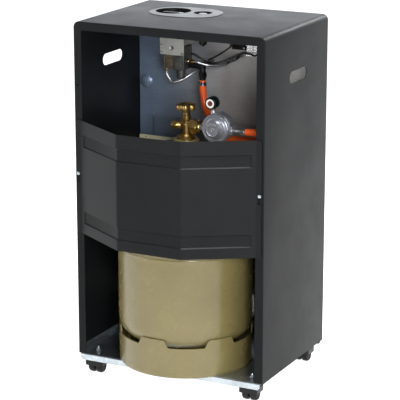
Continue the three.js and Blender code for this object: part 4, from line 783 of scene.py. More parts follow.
# %% [markdown]
# # The cylinder valve
# A turned and forged brass body is screwed into the collar. It has hexagon flats low down for the spanner,
# a threaded outlet to the right for the regulator and a capped port opposite. Turned forms are a profile
# turned about an axis. Hexagons are the same profile, but each radius is held under the distance to the
# flats, so that the spanner faces run out into round chamfers, as on a real nut.

# %% Radii that change around the axis
VALVE_X = 1.0
OUTLET_Z = COLLAR_TOP + 26


def hexagonal(corner):
    """The smaller of the turned radius and the distance to a hexagon's side: flat / cos(a mod 60 - 30)."""
    return lambda angle, radius: np.minimum(
        radius, corner * math.cos(math.pi / 6) / np.cos(np.mod(angle, np.pi / 3) - np.pi / 6))


def hexagon_nut(corner, start, end, axis, centre, chamfer=1.2, bore=0.0):
    """A nut: its corners are turned back at both ends, and a bored nut is a ring round its bore."""
    flat = corner * math.cos(math.pi / 6)
    low, high = sorted((start, end))
    profile = [(bore, low), (flat, low), (corner, low + chamfer), (corner, high - chamfer), (flat, high),
               (bore, high)]
    if bore:
        profile += [(bore, low)]
    return shaped(profile, hexagonal(corner), axis, centre, 48)


def threads(radius, start, end, pitch=1.8, depth=0.6):
    """A screw thread's outline: ridges of one pitch, from start to end."""
    count = max(1, round(abs(end - start) / pitch))
    stations = np.linspace(start, end, 2 * count + 1)
    return [(radius - (depth if i % 2 else 0), w) for i, w in enumerate(stations)]


# %% Cylinder valve
base = COLLAR_TOP + 0.3
body_line = [(0, base - 20), (12, base - 20), *threads(12.5, base - 19, base - 1, 2.2), (12.5, base),
             (19.8, base), (19.8, base + 2.2), (17, base + 4), (12.4, base + 8.5), (10.9, base + 10),
             (10.9, base + 30), (10.3, base + 31), (10.3, base + 32), (10.9, base + 33), (10.9, base + 37.6),
             (9.4, base + 39), (9.4, base + 47), (7.6, base + 47.8), (7.6, base + 53.4), (6.6, base + 54),
             (0, base + 54)]
outlet = [(0, 1 - VALVE_X), (7.6, 0), (7.6, -12), *threads(9.9, -13, -22.5), (8.6, -24), (5, -24),
          (4.4, -20), (0, -20)]
port = [(0, 0), (7.9, 0), (7.9, 8), *threads(7.9, 9, 17), (7.2, 18), (0, 18)]
waist = hexagon_nut(19.6, base + 1.4, base + 6.4, "z", (VALVE_X, CYLINDER_Y, 0), 1.2)
valve = together(turned(body_line, "z", (VALVE_X, CYLINDER_Y, 0), 48), waist,
                 turned(outlet, "x", (VALVE_X, CYLINDER_Y, OUTLET_Z), 40),
                 turned(port, "x", (VALVE_X, CYLINDER_Y, OUTLET_Z), 40))
piece("brass_cylinder_valve", *valve, brass, "brass", "cylinder_valve", sharp=30)
piece("brass_port_cap", *hexagon_nut(9, 19.3, 32.3, "x", (0, CYLINDER_Y, OUTLET_Z), 1.0), brass, "brass",
      "valve_cap", sharp=30)
nut_collar = shaped([(10.4, -10), (12, -10), (13, -11.4), (15, -12.4), (15, -25), (13.4, -26.4),
                     (12.2, -27.4), (12.2, -31.6), (11.4, -33), (10.4, -33), (10.4, -10)], hexagonal(15),
                    "x", (0, CYLINDER_Y, OUTLET_Z), 48)
piece("brass_coupling_nut", *nut_collar, brass, "brass", "coupling_nut", body="coupling_nut", sharp=28)

# %% [markdown]
# The handwheel is a small casting with six soft lobes for the fingers. Its rim is dished on top, round a
# hub with a nut. Around the axis the radius swings as R + 1.8 cos 6a, less towards the middle.

# %% Handwheel
wheel_foot = COLLAR_TOP + 54.6
WHEEL_R = 19.5


def lobed(angle, radius):
    """Six lobes that grow with the cube of the radius."""
    return radius + 1.8 * (radius / WHEEL_R) ** 3 * np.cos(6 * angle + np.pi / 4)


wheel_line = [(0, 0), (7.6, 0), (8, 0.5), (8, 4), (14, 4.1), (18.3, 4.3), (19.3, 5.4), (19.5, 7), (19.5, 13),
              (19.1, 14.8), (18, 15.9), (16.6, 16), (15.4, 15.4), (14.2, 13), (12.6, 12), (7, 11.6),
              (5.8, 11.8), (5.6, 14.2), (4.8, 14.9), (2.6, 14.9), (2.2, 14.2), (0, 14.2)]
wheel_line = [(r, wheel_foot + h) for r, h in wheel_line]
piece("lobed_handwheel", *shaped(wheel_line, lobed, "z", (VALVE_X, CYLINDER_Y, 0), 96), brass, "brass",
      "valve_handwheel", body="handwheel", sharp=34)

# %% [markdown]
# # The regulator
# Two pressure-cast halves hold a diaphragm between their flanges. The outer half is a shallow dish with a
# raised cap over the spring. Six screws hold the flanges. The small gauge on top has a black case, a pale
# ring and a dark red field.

# %% Regulator
REG_X, REG_Y, REG_Z = VALVE_X - 73, CYLINDER_Y, OUTLET_Z + 4
centre = (REG_X, REG_Y, REG_Z)
back_line = [(0, -21.4), (8, -21.4), (9, -22), (20, -22), (22.4, -21.6), (25.5, -19.5), (27.6, -16.5),
             (28, -14.5), (28, 3.4), (28.6, 4.6), (29.6, 5), (30, 5.5), (30, 8.7), (29.6, 9.2), (0, 9.2)]
ribs = [block(rectangle(REG_X - x, REG_X + x, REG_Z - z, REG_Z + z, 0.8, 2), "y", REG_Y - 21, REG_Y + 4, 0.5)
        for x, z in ((1.2, 28.2), (28.2, 1.2))]
outlet_line = [(0, 0), (8.5, 0), (8.5, -22), (7.8, -23), (4.6, -23), (4.6, -32.3), (3.2, -32.3), (3.2, -40),
               *threads(3.1, -40.2, -46.4, 2.0, 0.35), (3.1, -46.7), (0, -46.7)]
inlet_line = [(0, 0), (9.4, 0), (9.4, 29), (8.6, 30.5), (7, 31), (7, 48.4), (6.4, 48.7), (0, 48.7)]
regulator = together(
    turned(back_line, "y", centre, 72), *ribs,
    turned(outlet_line, "x", (REG_X, REG_Y, OUTLET_Z), 32),
    turned(inlet_line, "x", (REG_X, REG_Y, OUTLET_Z), 32),
    hexagon_nut(9.5, REG_X - 32, REG_X - 23.2, "x", (0, REG_Y, OUTLET_Z), 1.0),
    turned([(0, REG_Z), (5.4, REG_Z), (5.4, REG_Z + 32.6), (4.8, REG_Z + 34.2), (0, REG_Z + 34.2)], "z",
           (REG_X + 11, REG_Y + 2, 0), 24))
piece("cast_regulator_body", *regulator, cast_alloy, "grey_casting", "regulator_body", sharp=32)

dish_line = [(0, 9.6), (29.4, 9.6), (30, 10.2), (30, 13.2), (29.2, 13.8), (29.2, 16.6), (28.6, 18.4),
             (27, 19.4), (25.4, 19.2), (24, 17.6), (22.4, 17.2), (20.4, 18.2), (18.6, 21.0), (17.2, 22.4),
             (15.4, 24.0), (14.6, 26), (14, 31.2), (13.2, 32.3), (12, 32.5), (11.4, 32.0), (10.8, 30.6),
             (4.2, 30.4), (3.4, 31.4), (2.4, 31.5), (1.6, 30.4), (0, 30.4)]
dish = [turned(dish_line, "y", centre, 96)]
for turn_angle in np.radians(np.arange(0, 360, 60) + 15):
    at = (REG_X + 26.3 * math.cos(turn_angle), REG_Y, REG_Z + 26.3 * math.sin(turn_angle))
    dish.append(turned([(0, 16), (2.4, 16), (2.4, 19.6), (2.0, 20.3), (1.3, 20.4), (1.1, 19.6), (0, 19.6)],
                       "y", at, 14))
piece("dished_regulator_cover", *together(*dish), cast_alloy, "grey_casting", "regulator_cover", sharp=30)

# %% Gauge
GAUGE_X, GAUGE_Z = REG_X + 11, REG_Z + 50
gauge_back = REG_Y - 2
case_line = [(0, 0), (10.8, 0), (12.2, 0.8), (12.6, 2.2), (12.6, 16.6), (12.2, 17.8), (11.2, 18),
             (10.4, 18.2), (10.4, 20), (10, 20.4), (9.6, 20.5), (9.1, 20.2), (9, 18.9), (0, 18.9)]
gauge_centre = (GAUGE_X, gauge_back, GAUGE_Z)
case = turned(case_line, "y", gauge_centre, 64)
dial = turned([(5.4, 19.0), (8.9, 19.0), (8.9, 19.5), (5.4, 19.5), (5.4, 19.0)], "y", gauge_centre, 64)
field = turned([(0, 19.05), (5.3, 19.05), (5.3, 19.45), (0, 19.45)], "y", gauge_centre, 48)
white_dial = finish("white_dial_enamel", "#f2f2ee", "#e2e2dc", 0.3, patch=8, grain=2, relief=0.01, ior=1.5)
red_dial = finish("dark_red_dial_enamel", "#7c2a22", "#5c1f1a", 0.3, patch=8, grain=2, relief=0.01, ior=1.5)
piece("gauge_case", *case, black_plastic, "black_plastic", "pressure_gauge", sharp=30)
piece("gauge_dial_ring", *dial, white_dial, "black_plastic")
piece("gauge_dial_field", *field, red_dial, "black_plastic")
pointer = block([(GAUGE_X - 0.7, GAUGE_Z - 2.6), (GAUGE_X + 0.7, GAUGE_Z - 2.6),
                 (GAUGE_X + 0.25, GAUGE_Z + 7.4), (GAUGE_X - 0.25, GAUGE_Z + 7.4)], "y", gauge_back + 19.7,
                gauge_back + 20.1, 0.0)
piece("gauge_pointer", *pointer, black_plastic, "black_plastic")
stem = together(
    turned([(0, 0), (4.1, 0), (4.1, 4), (0, 4)], "z", (GAUGE_X, REG_Y + 2, REG_Z + 34.7), 20),
    hexagon_nut(4.2, REG_Z + 34.8, REG_Z + 38.2, "z", (GAUGE_X, REG_Y + 2, 0), 0.4))
piece("gauge_stem", *stem, brass, "brass", sharp=30)

# %% [markdown]
# # The gas hose
# Orange rubber hose for low pressure, 14.4 mm across. A crimped ferrule holds it at the regulator and a
# worm-drive clamp at the inlet. It leaves the regulator sideways, bends round beside the wall, runs across
# behind the burners and rises to the elbow. The path is a smooth line through a few chosen points, and a
# circle is carried along it without twist.

# %% Hose, ferrule and clamp
HOSE_R = 7.2
RUN_Y, RUN_Z = -20.0, OUTLET_Z - 40
INLET_X, INLET_Y, INLET_FOOT = 29.0, -60.0, 598.0
hose_start = REG_X - 23 - 9 - 15 - 12 - 0.3
turn_radius = (REG_Y - RUN_Y) / 2
turn_x = turn_radius + 5 + 7.25 - (SIDE - GAUGE)
sinking = [(turn_x + turn_radius * math.cos(a), (REG_Y + RUN_Y) / 2 + turn_radius * math.sin(a),
            OUTLET_Z - 40 * (1 - math.cos(a - math.pi / 2)) / 2)
           for a in np.linspace(math.pi / 2, 1.5 * math.pi, 7)]
low = np.array([-60.0, RUN_Y, RUN_Z])
high = np.array([INLET_X, INLET_Y, INLET_FOOT - 0.3 - 14])
rising = [low + (high - low) * share for share in
          np.array([[0.35, 0.15, 0.03], [0.6, 0.45, 0.18], [0.79, 0.78, 0.38], [0.92, 0.94, 0.57],
                    [0.98, 1, 0.8]])]
hose_points = [(hose_start, REG_Y, OUTLET_Z), (hose_start - 14, REG_Y, OUTLET_Z), *sinking,
               ((turn_x - 60) / 2, RUN_Y, RUN_Z), low, *rising, high, (INLET_X, INLET_Y, INLET_FOOT - 0.3)]
hose_line = smooth_line(hose_points, 10)
hose_run = np.sum(np.linalg.norm(np.diff(hose_line, axis=0), axis=1))
print(f"hose: {hose_run:.0f} mm along its line")
hose_radii = np.full(len(hose_line), HOSE_R)
hose_radii[[0, -1]] = HOSE_R - 0.7
piece("orange_gas_hose", *tube(hose_line, hose_radii, 32), orange_rubber, "orange_rubber", "gas_hose",
      sharp=50)

crimp = [(4.2, 0), (7.0, 0), (7.6, -0.8)]
for k in range(3):
    at = -1.4 - 3.4 * k
    crimp += [(7.8, at), (7.8, at - 1.5), (6.9, at - 2.1), (6.9, at - 2.9)]
crimp += [(7.7, -11.2), (7.2, -12), (4.2, -12), (4.2, 0)]
piece("crimped_ferrule", *turned(crimp, "x", (REG_X - 47, REG_Y, OUTLET_Z), 40), drawn_aluminium,
      "aluminium_tube", "hose_ferrule", sharp=28)

clamp_foot, clamp_top = INLET_FOOT - 11.3, INLET_FOOT - 3.3
band = [(7.6, clamp_foot), (8.6, clamp_foot), (8.9, clamp_foot + 0.5), (8.9, clamp_top - 0.5),
        (8.6, clamp_top), (7.6, clamp_top), (7.6, clamp_foot)]
mid = (clamp_foot + clamp_top) / 2
lug = box(INLET_X - 2.8, INLET_X + 2.8, INLET_Y + 8.2, INLET_Y + 12.6, clamp_foot + 1.2, clamp_top - 1.2,
          0.5)
worm = turned([(0, -2.9), (1.9, -2.9), (1.9, -1.9), (2.3, -1.6), (2.3, 2.4), (1.7, 2.9), (0, 2.9)], "x",
              (INLET_X, INLET_Y + 12.0, mid), 20)
piece("worm_drive_clamp", *together(turned(band, "z", (INLET_X, INLET_Y, 0), 48), lug, worm), zinc_plate,
      "zinc_plate", "inlet_clamp", sharp=30)

# %% Inlet elbow
ELBOW_Z = INLET_FOOT + 30
bend_line = np.concatenate([[(INLET_X, INLET_Y, INLET_FOOT)], [(INLET_X, INLET_Y, ELBOW_Z - 10)],
                            [(INLET_X + 9 * (1 - math.cos(a)), INLET_Y, ELBOW_Z - 9 + 9 * math.sin(a))
                             for a in np.linspace(0.15, math.pi / 2, 8)],
                            [(INLET_X + 20, INLET_Y, ELBOW_Z)], [(58.7, INLET_Y, ELBOW_Z)]])
knuckle = turned([(0, -7.0), (5.6, -7.0), (7.2, -5.6), (7.25, 5.0), (5.8, 7.1), (0, 7.2)], "z",
                 (INLET_X, INLET_Y, ELBOW_Z), 32)
elbow_collar = turned([(0, 20), (7.25, 20), (7.25, 23), (6.6, 23.6), (6.6, 26.4), (7.25, 27), (7.25, 29.6),
                       (0, 29.6)],
                      "x", (INLET_X, INLET_Y, ELBOW_Z), 32)
elbow = together(tube(bend_line, 6.9, 24), knuckle, elbow_collar,
                 hexagon_nut(9.2, ELBOW_Z - 24, ELBOW_Z - 14, "z", (INLET_X, INLET_Y, 0), 1.0))
piece("black_inlet_elbow", *elbow, black_plastic, "black_plastic", "hose_inlet", sharp=34)

# %% [markdown]
# # The heat shield
# A sheet of aluminised steel closes the burner room off from the cylinder. A raised field stiffens its
# lower edge, a round dimple stands out at the upper left and a patch of small holes lets air through. The
# field is pressed 6 mm high with sides that ease in, and the dimple is a ball's cap: its ball has a radius
# of (r^2 + h^2) / 2h. Painted reflection and shade make the sheet bluish and darker left, warmer right.

# %% Sheet with painted reflection and shade
sheet_painted_reflection = finish("rolled_sheet_painted_reflection", "#c9cbcf", "#a6a9ae", 0.38, metallic=0.4, patch=70,
                      grain=2.5, relief=0.02, uneven=0.07, stretch=(0.12, 1, 1))
tree, shader, plain, place = opened(sheet_painted_reflection)
# Painted reflection and shade: the sheet is drawn bluish and darker on the left, and warmer and lighter on
# the right.
across = add_node(tree, "ShaderNodeSeparateXYZ", inputs={"Vector": place}).outputs["X"]
reflection_side_mask = add_node(tree, "ShaderNodeMapRange", {"interpolation_type": "SMOOTHSTEP"}, {
    "Value": across, "From Min": -0.02, "From Max": 0.19, "To Min": 0.0, "To Max": 1.0})
painted_reflection_colour = add_node(tree, "ShaderNodeMix", {"data_type": "RGBA"}, {
    0: reflection_side_mask.outputs[0], 6: linear("#f0e9e2"), 7: linear("#9db0c9")})
painted_reflection_over_sheet = add_node(tree, "ShaderNodeMix", {"data_type": "RGBA", "blend_type": "MULTIPLY"}, {
    0: 1.0, 6: plain, 7: painted_reflection_colour.outputs[2]})
tree.links.new(painted_reflection_over_sheet.outputs[2], shader.inputs["Base Color"])

# %% Heat shield
SHIELD_Y, SHIELD_EDGE, SHIELD_FOOT, SHIELD_TOP = -118.0, SIDE - 1.5, 446.0, TOP - 1.5
FIELD_HALF, FIELD_TOP, FIELD_SLOPE, FIELD_RISE = 178.0, 501.0, 9.0, 6.0
DIMPLE_X, DIMPLE_Z, DIMPLE_R, DIMPLE_RISE = SIDE - GAUGE - 17, TOP - 168, 15.0, 6.0
SHIELD_GAUGE, SHIELD_RETURN, SHIELD_CORNER = 1.0, 10.0, 10.5
VENT_R, VENT_STEP_X, VENT_STEP_Z = 1.25, 3.7, 3.3


def shield_form(x, z, depth):
    """Flat, but for the field: it rises by a smooth step over its sloping sides."""
    side = (FIELD_HALF - np.abs(x)) / FIELD_SLOPE
    over = (FIELD_TOP - z) / FIELD_SLOPE
    rise = FIELD_RISE * ease(np.minimum(side, over))
    return np.stack([x, SHIELD_Y + rise - depth, z], axis=1)


slopes = np.linspace(0, FIELD_SLOPE, 5)
shield_outline = soften([(-SHIELD_EDGE, SHIELD_FOOT), (SHIELD_EDGE, SHIELD_FOOT), (SHIELD_EDGE, SHIELD_TOP),
                         (-SHIELD_EDGE, SHIELD_TOP)], [0.6, 0.6, SHIELD_CORNER, SHIELD_CORNER], 8,
                        closed=True)
vents = [circle(-43.5 - (column + row % 2 / 2) * VENT_STEP_X, TOP - 93.4 + row * VENT_STEP_Z, VENT_R, 8)
         for row in range(7) for column in range(9)]
shield_flat = blank(shield_outline, [circle(DIMPLE_X, DIMPLE_Z, DIMPLE_R, 40), *vents],
                    [*(FIELD_HALF - slopes), *(slopes - FIELD_HALF)], FIELD_TOP - slopes)
ball = (DIMPLE_R ** 2 + DIMPLE_RISE ** 2) / (2 * DIMPLE_RISE)
cap_angle = math.asin(DIMPLE_R / ball)
dimple_line = [(ball * math.sin(a), SHIELD_Y + DIMPLE_RISE - ball + ball * math.cos(a))
               for a in np.linspace(0, cap_angle, 9)]
dimple_line += [(r, y - SHIELD_GAUGE) for r, y in dimple_line[::-1]]
returned = path_frame(soften([(SHIELD_EDGE, SHIELD_FOOT), (SHIELD_EDGE, SHIELD_TOP),
                              (-SHIELD_EDGE, SHIELD_TOP), (-SHIELD_EDGE, SHIELD_FOOT)], SHIELD_CORNER, 8))


def return_form(s, y, depth):
    """The shield's edge, turned forwards all round the top and sides."""
    x, z = follow(returned, s, -depth)
    return np.stack([x, y, z], axis=1)


return_flat = blank(rectangle(0, returned[0][-1], SHIELD_Y - SHIELD_RETURN, SHIELD_Y), (), returned[0][1:-1])
shield = together(fold(*shield_flat, shield_form, SHIELD_GAUGE),
                  fold(*return_flat, return_form, SHIELD_GAUGE),
                  turned(dimple_line, "y", (DIMPLE_X, 0, DIMPLE_Z), 40))
piece("pressed_heat_shield", *shield, sheet_painted_reflection, "bright_sheet", "heat_shield", sharp=40)

rail_line = path_frame(soften([(SHIELD_Y + 7.5, 455.7), (SHIELD_Y + 7.5, 444.5), (-121.7, 444.5)], 1.6, 4))


def rail_form(x, s, depth):
    """An angle: the sheet follows a bent line in the cross-section."""
    y, z = follow(rail_line, s, -depth)
    return np.stack([x, y, z], axis=1)


rail_holes = [circle(x, 4.6, 1.7, 12) for x in (-190, -95, 0, 95, 190)]
rail_flat = blank(rectangle(-205, 205, 0, rail_line[0][-1], 1.5, 3), rail_holes, (), rail_line[0][1:-1])
piece("yellow_cross_rail", *fold(*rail_flat, rail_form, GAUGE), yellow_zinc, "yellow_zinc", "cross_rail",
      sharp=40)

# %% [markdown]
# # The gas control
# The knob's spindle enters a cast body under the top. A folded steel bracket carries it, screwed on from
# behind. The body has two blocks side by side, the left one set back and brown, a filter cup below and
# brass fittings for the tubes. The bracket is a flat plate with a pressed round, an open notch at the top
# and two cheeks.

# %% Bracket
PLATE_Y = -28.0
plate_outline = [(56, 651), (111, 651), (111, 715.2), (98, 715.2), (97, 687), (71, 687), (70, 715.2),
                 (56, 715.2)]
plate_flat = blank(soften(plate_outline, [2, 2, 1, 1, 2, 2, 1, 1], 3, closed=True),
                   [circle(84, 665.5, 5.2, 28), circle(61, 693, 1.6, 10), circle(106, 690, 1.6, 10)])
plate = fold(*plate_flat, lambda x, z, depth: np.stack([x, PLATE_Y - depth + 0 * x, z], axis=1), GAUGE)
pressed = turned([(0, -1.6), (2.4, -1.6), (3.6, -0.9), (5.3, 0), (5.3, -1.0), (3.4, -2.0), (2.2, -2.7),
                  (0, -2.7)], "y",
                 (84, PLATE_Y, 665.5), 28)
bracket = together(plate, pressed, box(56, 57.2, -76, PLATE_Y - 0.4, 672, 715.2, 0.4, 2, "x"),
                   box(109.8, 111, -76, PLATE_Y - 0.4, 672, 715.2, 0.4, 2, "x"),
                   box(57, 110, -76, -60, 714, 715.2, 0.4))
piece("folded_valve_bracket", *bracket, grey_steel, "grey_steel", "valve_bracket", sharp=30)


def pan_head(x, z, y, radius=2.6, height=1.9):
    """A small pan-head screw with its recess."""
    line = [(0, -1.5), (radius, -1.5), (radius, 0.5 * height), (0.86 * radius, 0.85 * height),
            (0.5 * radius, height), (0.38 * radius, height), (0.3 * radius, 0.4 * height), (0, 0.4 * height)]
    return turned(line, "y", (x, y, z), 18)


piece("bracket_screws", *together(pan_head(60.5, 654.5, PLATE_Y), pan_head(107.5, 669, PLATE_Y),
                                  pan_head(107, 655, PLATE_Y, 2.2)), zinc_plate, "zinc_plate")

# %% Gas control body
block_right = together(
    box(59, 83, -72, -33, 619, 668, 1.2, 2.5, "y"), box(62, 80, -34, -30.6, 622, 648, 0.8, 3, "y"),
    turned([(0, 0), (4.4, 0), (4.4, 2.2), (3.6, 3.0), (1.6, 3.0), (1.4, 1.6), (0, 1.6)], "y",
           (71, -32.0, 641), 24),
    turned([(0, 0), (9.6, 0), (9.6, -9), (9.1, -9.6), (9.1, -12), (9.6, -12.6), (9.6, -16), (8.4, -18),
            (0, -18)], "z",
           (71, -46, 619), 40),
    box(60.5, 66, -33, -30, 650, 654, 0.6, 1, "y"))
piece("cast_control_block", *block_right, dark_casting, "dark_casting", "gas_valve", sharp=30)
brown_casting = finish("brown_lacquered_casting", "#6e6252", "#3f382f", 0.42, metallic=0.55, patch=9,
                       grain=1.6, relief=0.15)
block_left = together(
    box(82, 109, -72, -44, 619, 668, 1.0, 2, "y"),
    box(83.4, 108.4, -45, -40, 645, 650, 0.6, 1, "y"), box(83.4, 86.4, -45, -40, 620, 650, 0.6, 1, "y"),
    box(105.4, 108.4, -45, -40, 620, 650, 0.6, 1, "y"),
    box(83.4, 108.4, -45, -41, 619.4, 622.4, 0.6, 1, "y"),
    box(91, 101, -45, -41, 632, 640, 0.8, 2, "y"),
    box(64, 103, -41, -29.6, 655, 668, 0.6, 1.5, "y"),
    turned([(0, 0), (9, 0), (9, 18), (8.2, 19), (8.2, 24), (9, 25), (9, 38), (7.6, 39), (0, 39)], "z",
           (86, -41, 667), 32))
piece("set_back_control_block", *block_left, brown_casting, "dark_casting", sharp=30)
strip = [box(109.2, 114.5, -60, -46, 620, 690, 0.6, 1.2, "y")]
for k in range(9):
    strip.append(box(109.8, 115.2, -50, -44.6, 624 + 7.2 * k, 628.4 + 7.2 * k, 0.5, 1, "y"))
piece("ribbed_terminal_strip", *together(*strip), dark_casting, "dark_casting", sharp=30)
fittings = together(
    turned([(0, 59.5), (4.9, 59.5), (4.9, 51), (3.4, 50.4), (3.4, 42.2), (0, 42.2)], "x", (0, -45, 638), 24),
    hexagon_nut(4.9, 43.2, 49.6, "x", (0, -45, 638), 0.6),
    turned([(0, 619.5), (3.9, 619.5), (3.9, 616.6), (3.4, 614.2), (0, 614.2)], "z", (104, -45, 0), 20))
piece("brass_tube_fittings", *fittings, brass, "dark_casting", sharp=30)
piece("outlet_lock_nut", *hexagon_nut(6.4, 51.4, 56.8, "x", (0, -45, 638), 0.8), zinc_plate, "dark_casting",
      sharp=30)

# %% [markdown]
# # Tubes and leads
# Drawn aluminium tube, bent by hand, carries the gas to the burners and to the pilot. A black bundle and a
# thinner black lead run from the gas control and the igniter to the partition. Each path is a smooth line
# through points that are given as shares of the straight way between its ends, so it stays in proportion
# when an end moves.

# %% Tubes and leads
def way(start, start_out, end, shares, lead=6.0):
    """Start, a short straight lead, the points in between (along, back, up, left), and the end."""
    start, end = np.array(start, dtype=float), np.array(end, dtype=float)
    size = np.linalg.norm(end - start)
    middle = [start + (end - start) * along + np.array([rest[0] if rest else 0.0, back, up]) * size
              for along, back, up, *rest in shares]
    return smooth_line([start, start + np.array(start_out) * lead, *middle, end + np.array([0, lead, 0]),
                        end], 6)


burner_way = way((41.7, -45, 638), (-1, 0, 0), (-33, -117.7, 645), [
    (0.18, 0.1, -0.04), (0.38, 0.17, -0.09), (0.53, 0.18, -0.12), (0.68, 0.18, -0.12), (0.81, 0.13, -0.09),
    (0.95, 0.1, -0.04)])
pilot_way = way((104, -45, 613.7), (0, 0, -1), (44, -117.7, 623.5), [
    (0.07, 0.05, -0.16), (0.17, 0.12, -0.25), (0.27, 0.18, -0.27), (0.47, 0.27, -0.25), (0.75, 0.36, -0.16),
    (0.95, 0.33, -0.06), (0.99, 0.16, -0.01)])
sensor_way = way((58.7, -67, 649), (-1, 0, 0), (-65, -117.7, 647.5), [
    (0.15, 0.02, -0.06), (0.26, 0.03, -0.12), (0.41, 0.1, -0.12), (0.53, 0.1, -0.09), (0.63, 0.09, -0.05),
    (0.73, 0.08, 0), (0.83, 0.06, 0.04), (0.93, 0.06, 0.03)])
igniter_way = way((11.7, -44, 689.7), (-1, 0, 0), (33, -117.7, 628.7), [
    (0, 0, 0.03, -0.3), (0, -0.01, 0, -0.51), (0.16, 0.1, 0, -0.61), (0.36, 0.21, 0, -0.51),
    (0.52, 0.29, 0, -0.39), (0.69, 0.37, 0, -0.25), (0.8, 0.34, 0, -0.12), (0.91, 0.28, 0, -0.04),
    (0.98, 0.16, 0, -0.01)])
TUBE_R, LEAD_R, BUNDLE_R = 2.85, 1.9, 2.3
for name, path in (("burner", burner_way), ("pilot", pilot_way)):
    piece(f"bent_{name}_tube", *tube(path, TUBE_R, 20), drawn_aluminium, "aluminium_tube", f"{name}_tube",
          sharp=50)
wrapped = BUNDLE_R + 0.2 * np.cos(np.arange(len(sensor_way)) * 1.9)
piece("sensor_lead_bundle", *tube(sensor_way, wrapped, 14), lead_sheath, "lead_sheath", "sensor_lead",
      sharp=60)
piece("igniter_lead_wire", *tube(igniter_way, LEAD_R, 12), lead_sheath, "lead_sheath", "igniter_lead",
      sharp=60)
clip = together(box(-44, -10, SHIELD_Y + 0.3, SHIELD_Y + 1.5, 656, 667, 0.4, 2, "y"),
                box(-44, -10, SHIELD_Y + 0.5, SHIELD_Y + 15.2, 665.8, 667, 0.4, 2, "z"))
piece("folded_lead_clip", *clip, powder_coat, "black_powder_coat", "lead_clip", sharp=30)
piece("clip_screw", *pan_head(-38, 660, SHIELD_Y + 1.5, 2.8, 2.0), zinc_plate, "zinc_plate")

# %% [markdown]
# # The control panel
# An oval moulding fills the opening in the top. It has a deep round well for the knob and a shallow one for
# the igniter's button, so that nothing stands above its rim. The knob is a disc with a bar grip and a
# fluted skirt; it turns on a spindle and is pressed down to light the pilot. The button drives the piezo.

# %% Bezel
KNOB_X, KNOB_Y, BUTTON_X, BUTTON_Y = 86.0, -41.0, 20.0, -44.0
RIM_TOP = TOP + 1.5
KNOB_WELL_R, BUTTON_WELL_R, RIM_GAUGE = 36.6, 19.0, 1.1
rim_flat = blank(oval(PANEL_X, PANEL_Y, PANEL_HALF_X, PANEL_HALF_Y, 72),
                 [circle(KNOB_X, KNOB_Y, KNOB_WELL_R, 64), circle(BUTTON_X, BUTTON_Y, BUTTON_WELL_R, 40)])


def rim_form(x, y, depth):
    """Flat, with its edge sunk by a rounding of 0.8 mm where it nears the oval's outline."""
    power = PANEL_ROUNDNESS
    reach = (np.abs((x - PANEL_X) / PANEL_HALF_X) ** power + np.abs((y - PANEL_Y) / PANEL_HALF_Y) ** power)
    return np.stack([x, y, RIM_TOP - 0.5 * ease((reach - 0.97) / 0.03) - depth], axis=1)


knob_cup = [(KNOB_WELL_R, RIM_TOP - 0.4), (KNOB_WELL_R, 719.5), (35, 717.6), (33, 717.3), (5, 717.3),
            (5, 715.5), (36.5, 715.5), (38.4, 717.5), (38.4, RIM_TOP - 1.1), (KNOB_WELL_R, RIM_TOP - 0.4)]
button_cup = [(BUTTON_WELL_R, RIM_TOP - 0.4), (BUTTON_WELL_R, 734.2), (18, 733.2), (9.4, 733), (9.4, 714),
              (12, 714), (12, 731.2), (20, 731.2), (20.8, 732.4), (20.8, RIM_TOP - 1.1),
              (BUTTON_WELL_R, RIM_TOP - 0.4)]
panel_plastic = finish("dark_grey_panel_plastic", "#3a3b3d", "#303133", 0.36, patch=30, grain=1.8,
                       relief=0.05, ior=1.5)
piece("oval_control_bezel", *fold(*rim_flat, rim_form, RIM_GAUGE), panel_plastic, "black_plastic",
      "control_bezel", sharp=35)
# The wells are drawn in black plastic, darker than the grey rim of the same moulding: painted shade for the
# depth of the wells.
cups = together(turned(knob_cup, "z", (KNOB_X, KNOB_Y, 0), 64),
                turned(button_cup, "z", (BUTTON_X, BUTTON_Y, 0), 40))
piece("bezel_wells_painted_shade", *cups, black_plastic, "black_plastic", sharp=35)


def fluted(angle, radius):
    """Thirty shallow flutes on the skirt only, where the radius is near its largest."""
    return radius - 0.5 * ease((radius - 27) / 1.5) * (0.5 + 0.5 * np.cos(30 * angle))


knob_line = [(4.4, 721.6), (28.4, 721.6), (29, 722.2), (29, 729.2), (28.3, 731.6), (26.2, 733.0),
             (22, 733.1), (4.4, 733.1), (4.4, 721.6)]
grip = block(rectangle(KNOB_X - 24, KNOB_X + 24, KNOB_Y - 5.5, KNOB_Y + 5.5, 5.4, 6), "z", 729, 737.6, 1.6)
piece("fluted_control_knob", *together(shaped(knob_line, fluted, "z", (KNOB_X, KNOB_Y, 0), 120), grip),
      black_plastic, "black_plastic", "control_knob", body="knob", sharp=35)
mark = block(rectangle(KNOB_X - 22, KNOB_X - 13, KNOB_Y - 0.8, KNOB_Y + 0.8, 0.7, 3), "z", 737.3, 737.8, 0.0)
piece("knob_pointer_line", *mark, white_dial, "black_plastic", body="knob")
piece("control_spindle_rod", *turned([(0, 706.3), (3.4, 706.3), (4, 707), (4, 712), (3.4, 712.4),
                                      (3.4, 713.6), (4, 714), (4, 728.8), (3.3, 729.6), (0, 729.6)], "z",
                                     (KNOB_X, KNOB_Y, 0), 28),
      zinc_plate, "zinc_plate", "control_spindle", body="spindle")
button_grey = finish("mid_grey_button_plastic", "#77797c", "#66686b", 0.4, patch=20, grain=1.6, relief=0.04,
                     ior=1.5)
button_line = [(0, 726.3), (8.6, 726.3), (9, 726.8), (9, 737.6), (8.5, 738.8), (7.4, 739.3), (6.2, 739.1),
               (5, 738.5), (2.5, 738.1), (0, 738.0)]
piece("igniter_push_button", *turned(button_line, "z", (BUTTON_X, BUTTON_Y, 0), 36), button_grey,
      "black_plastic", "igniter_button", body="igniter_button")
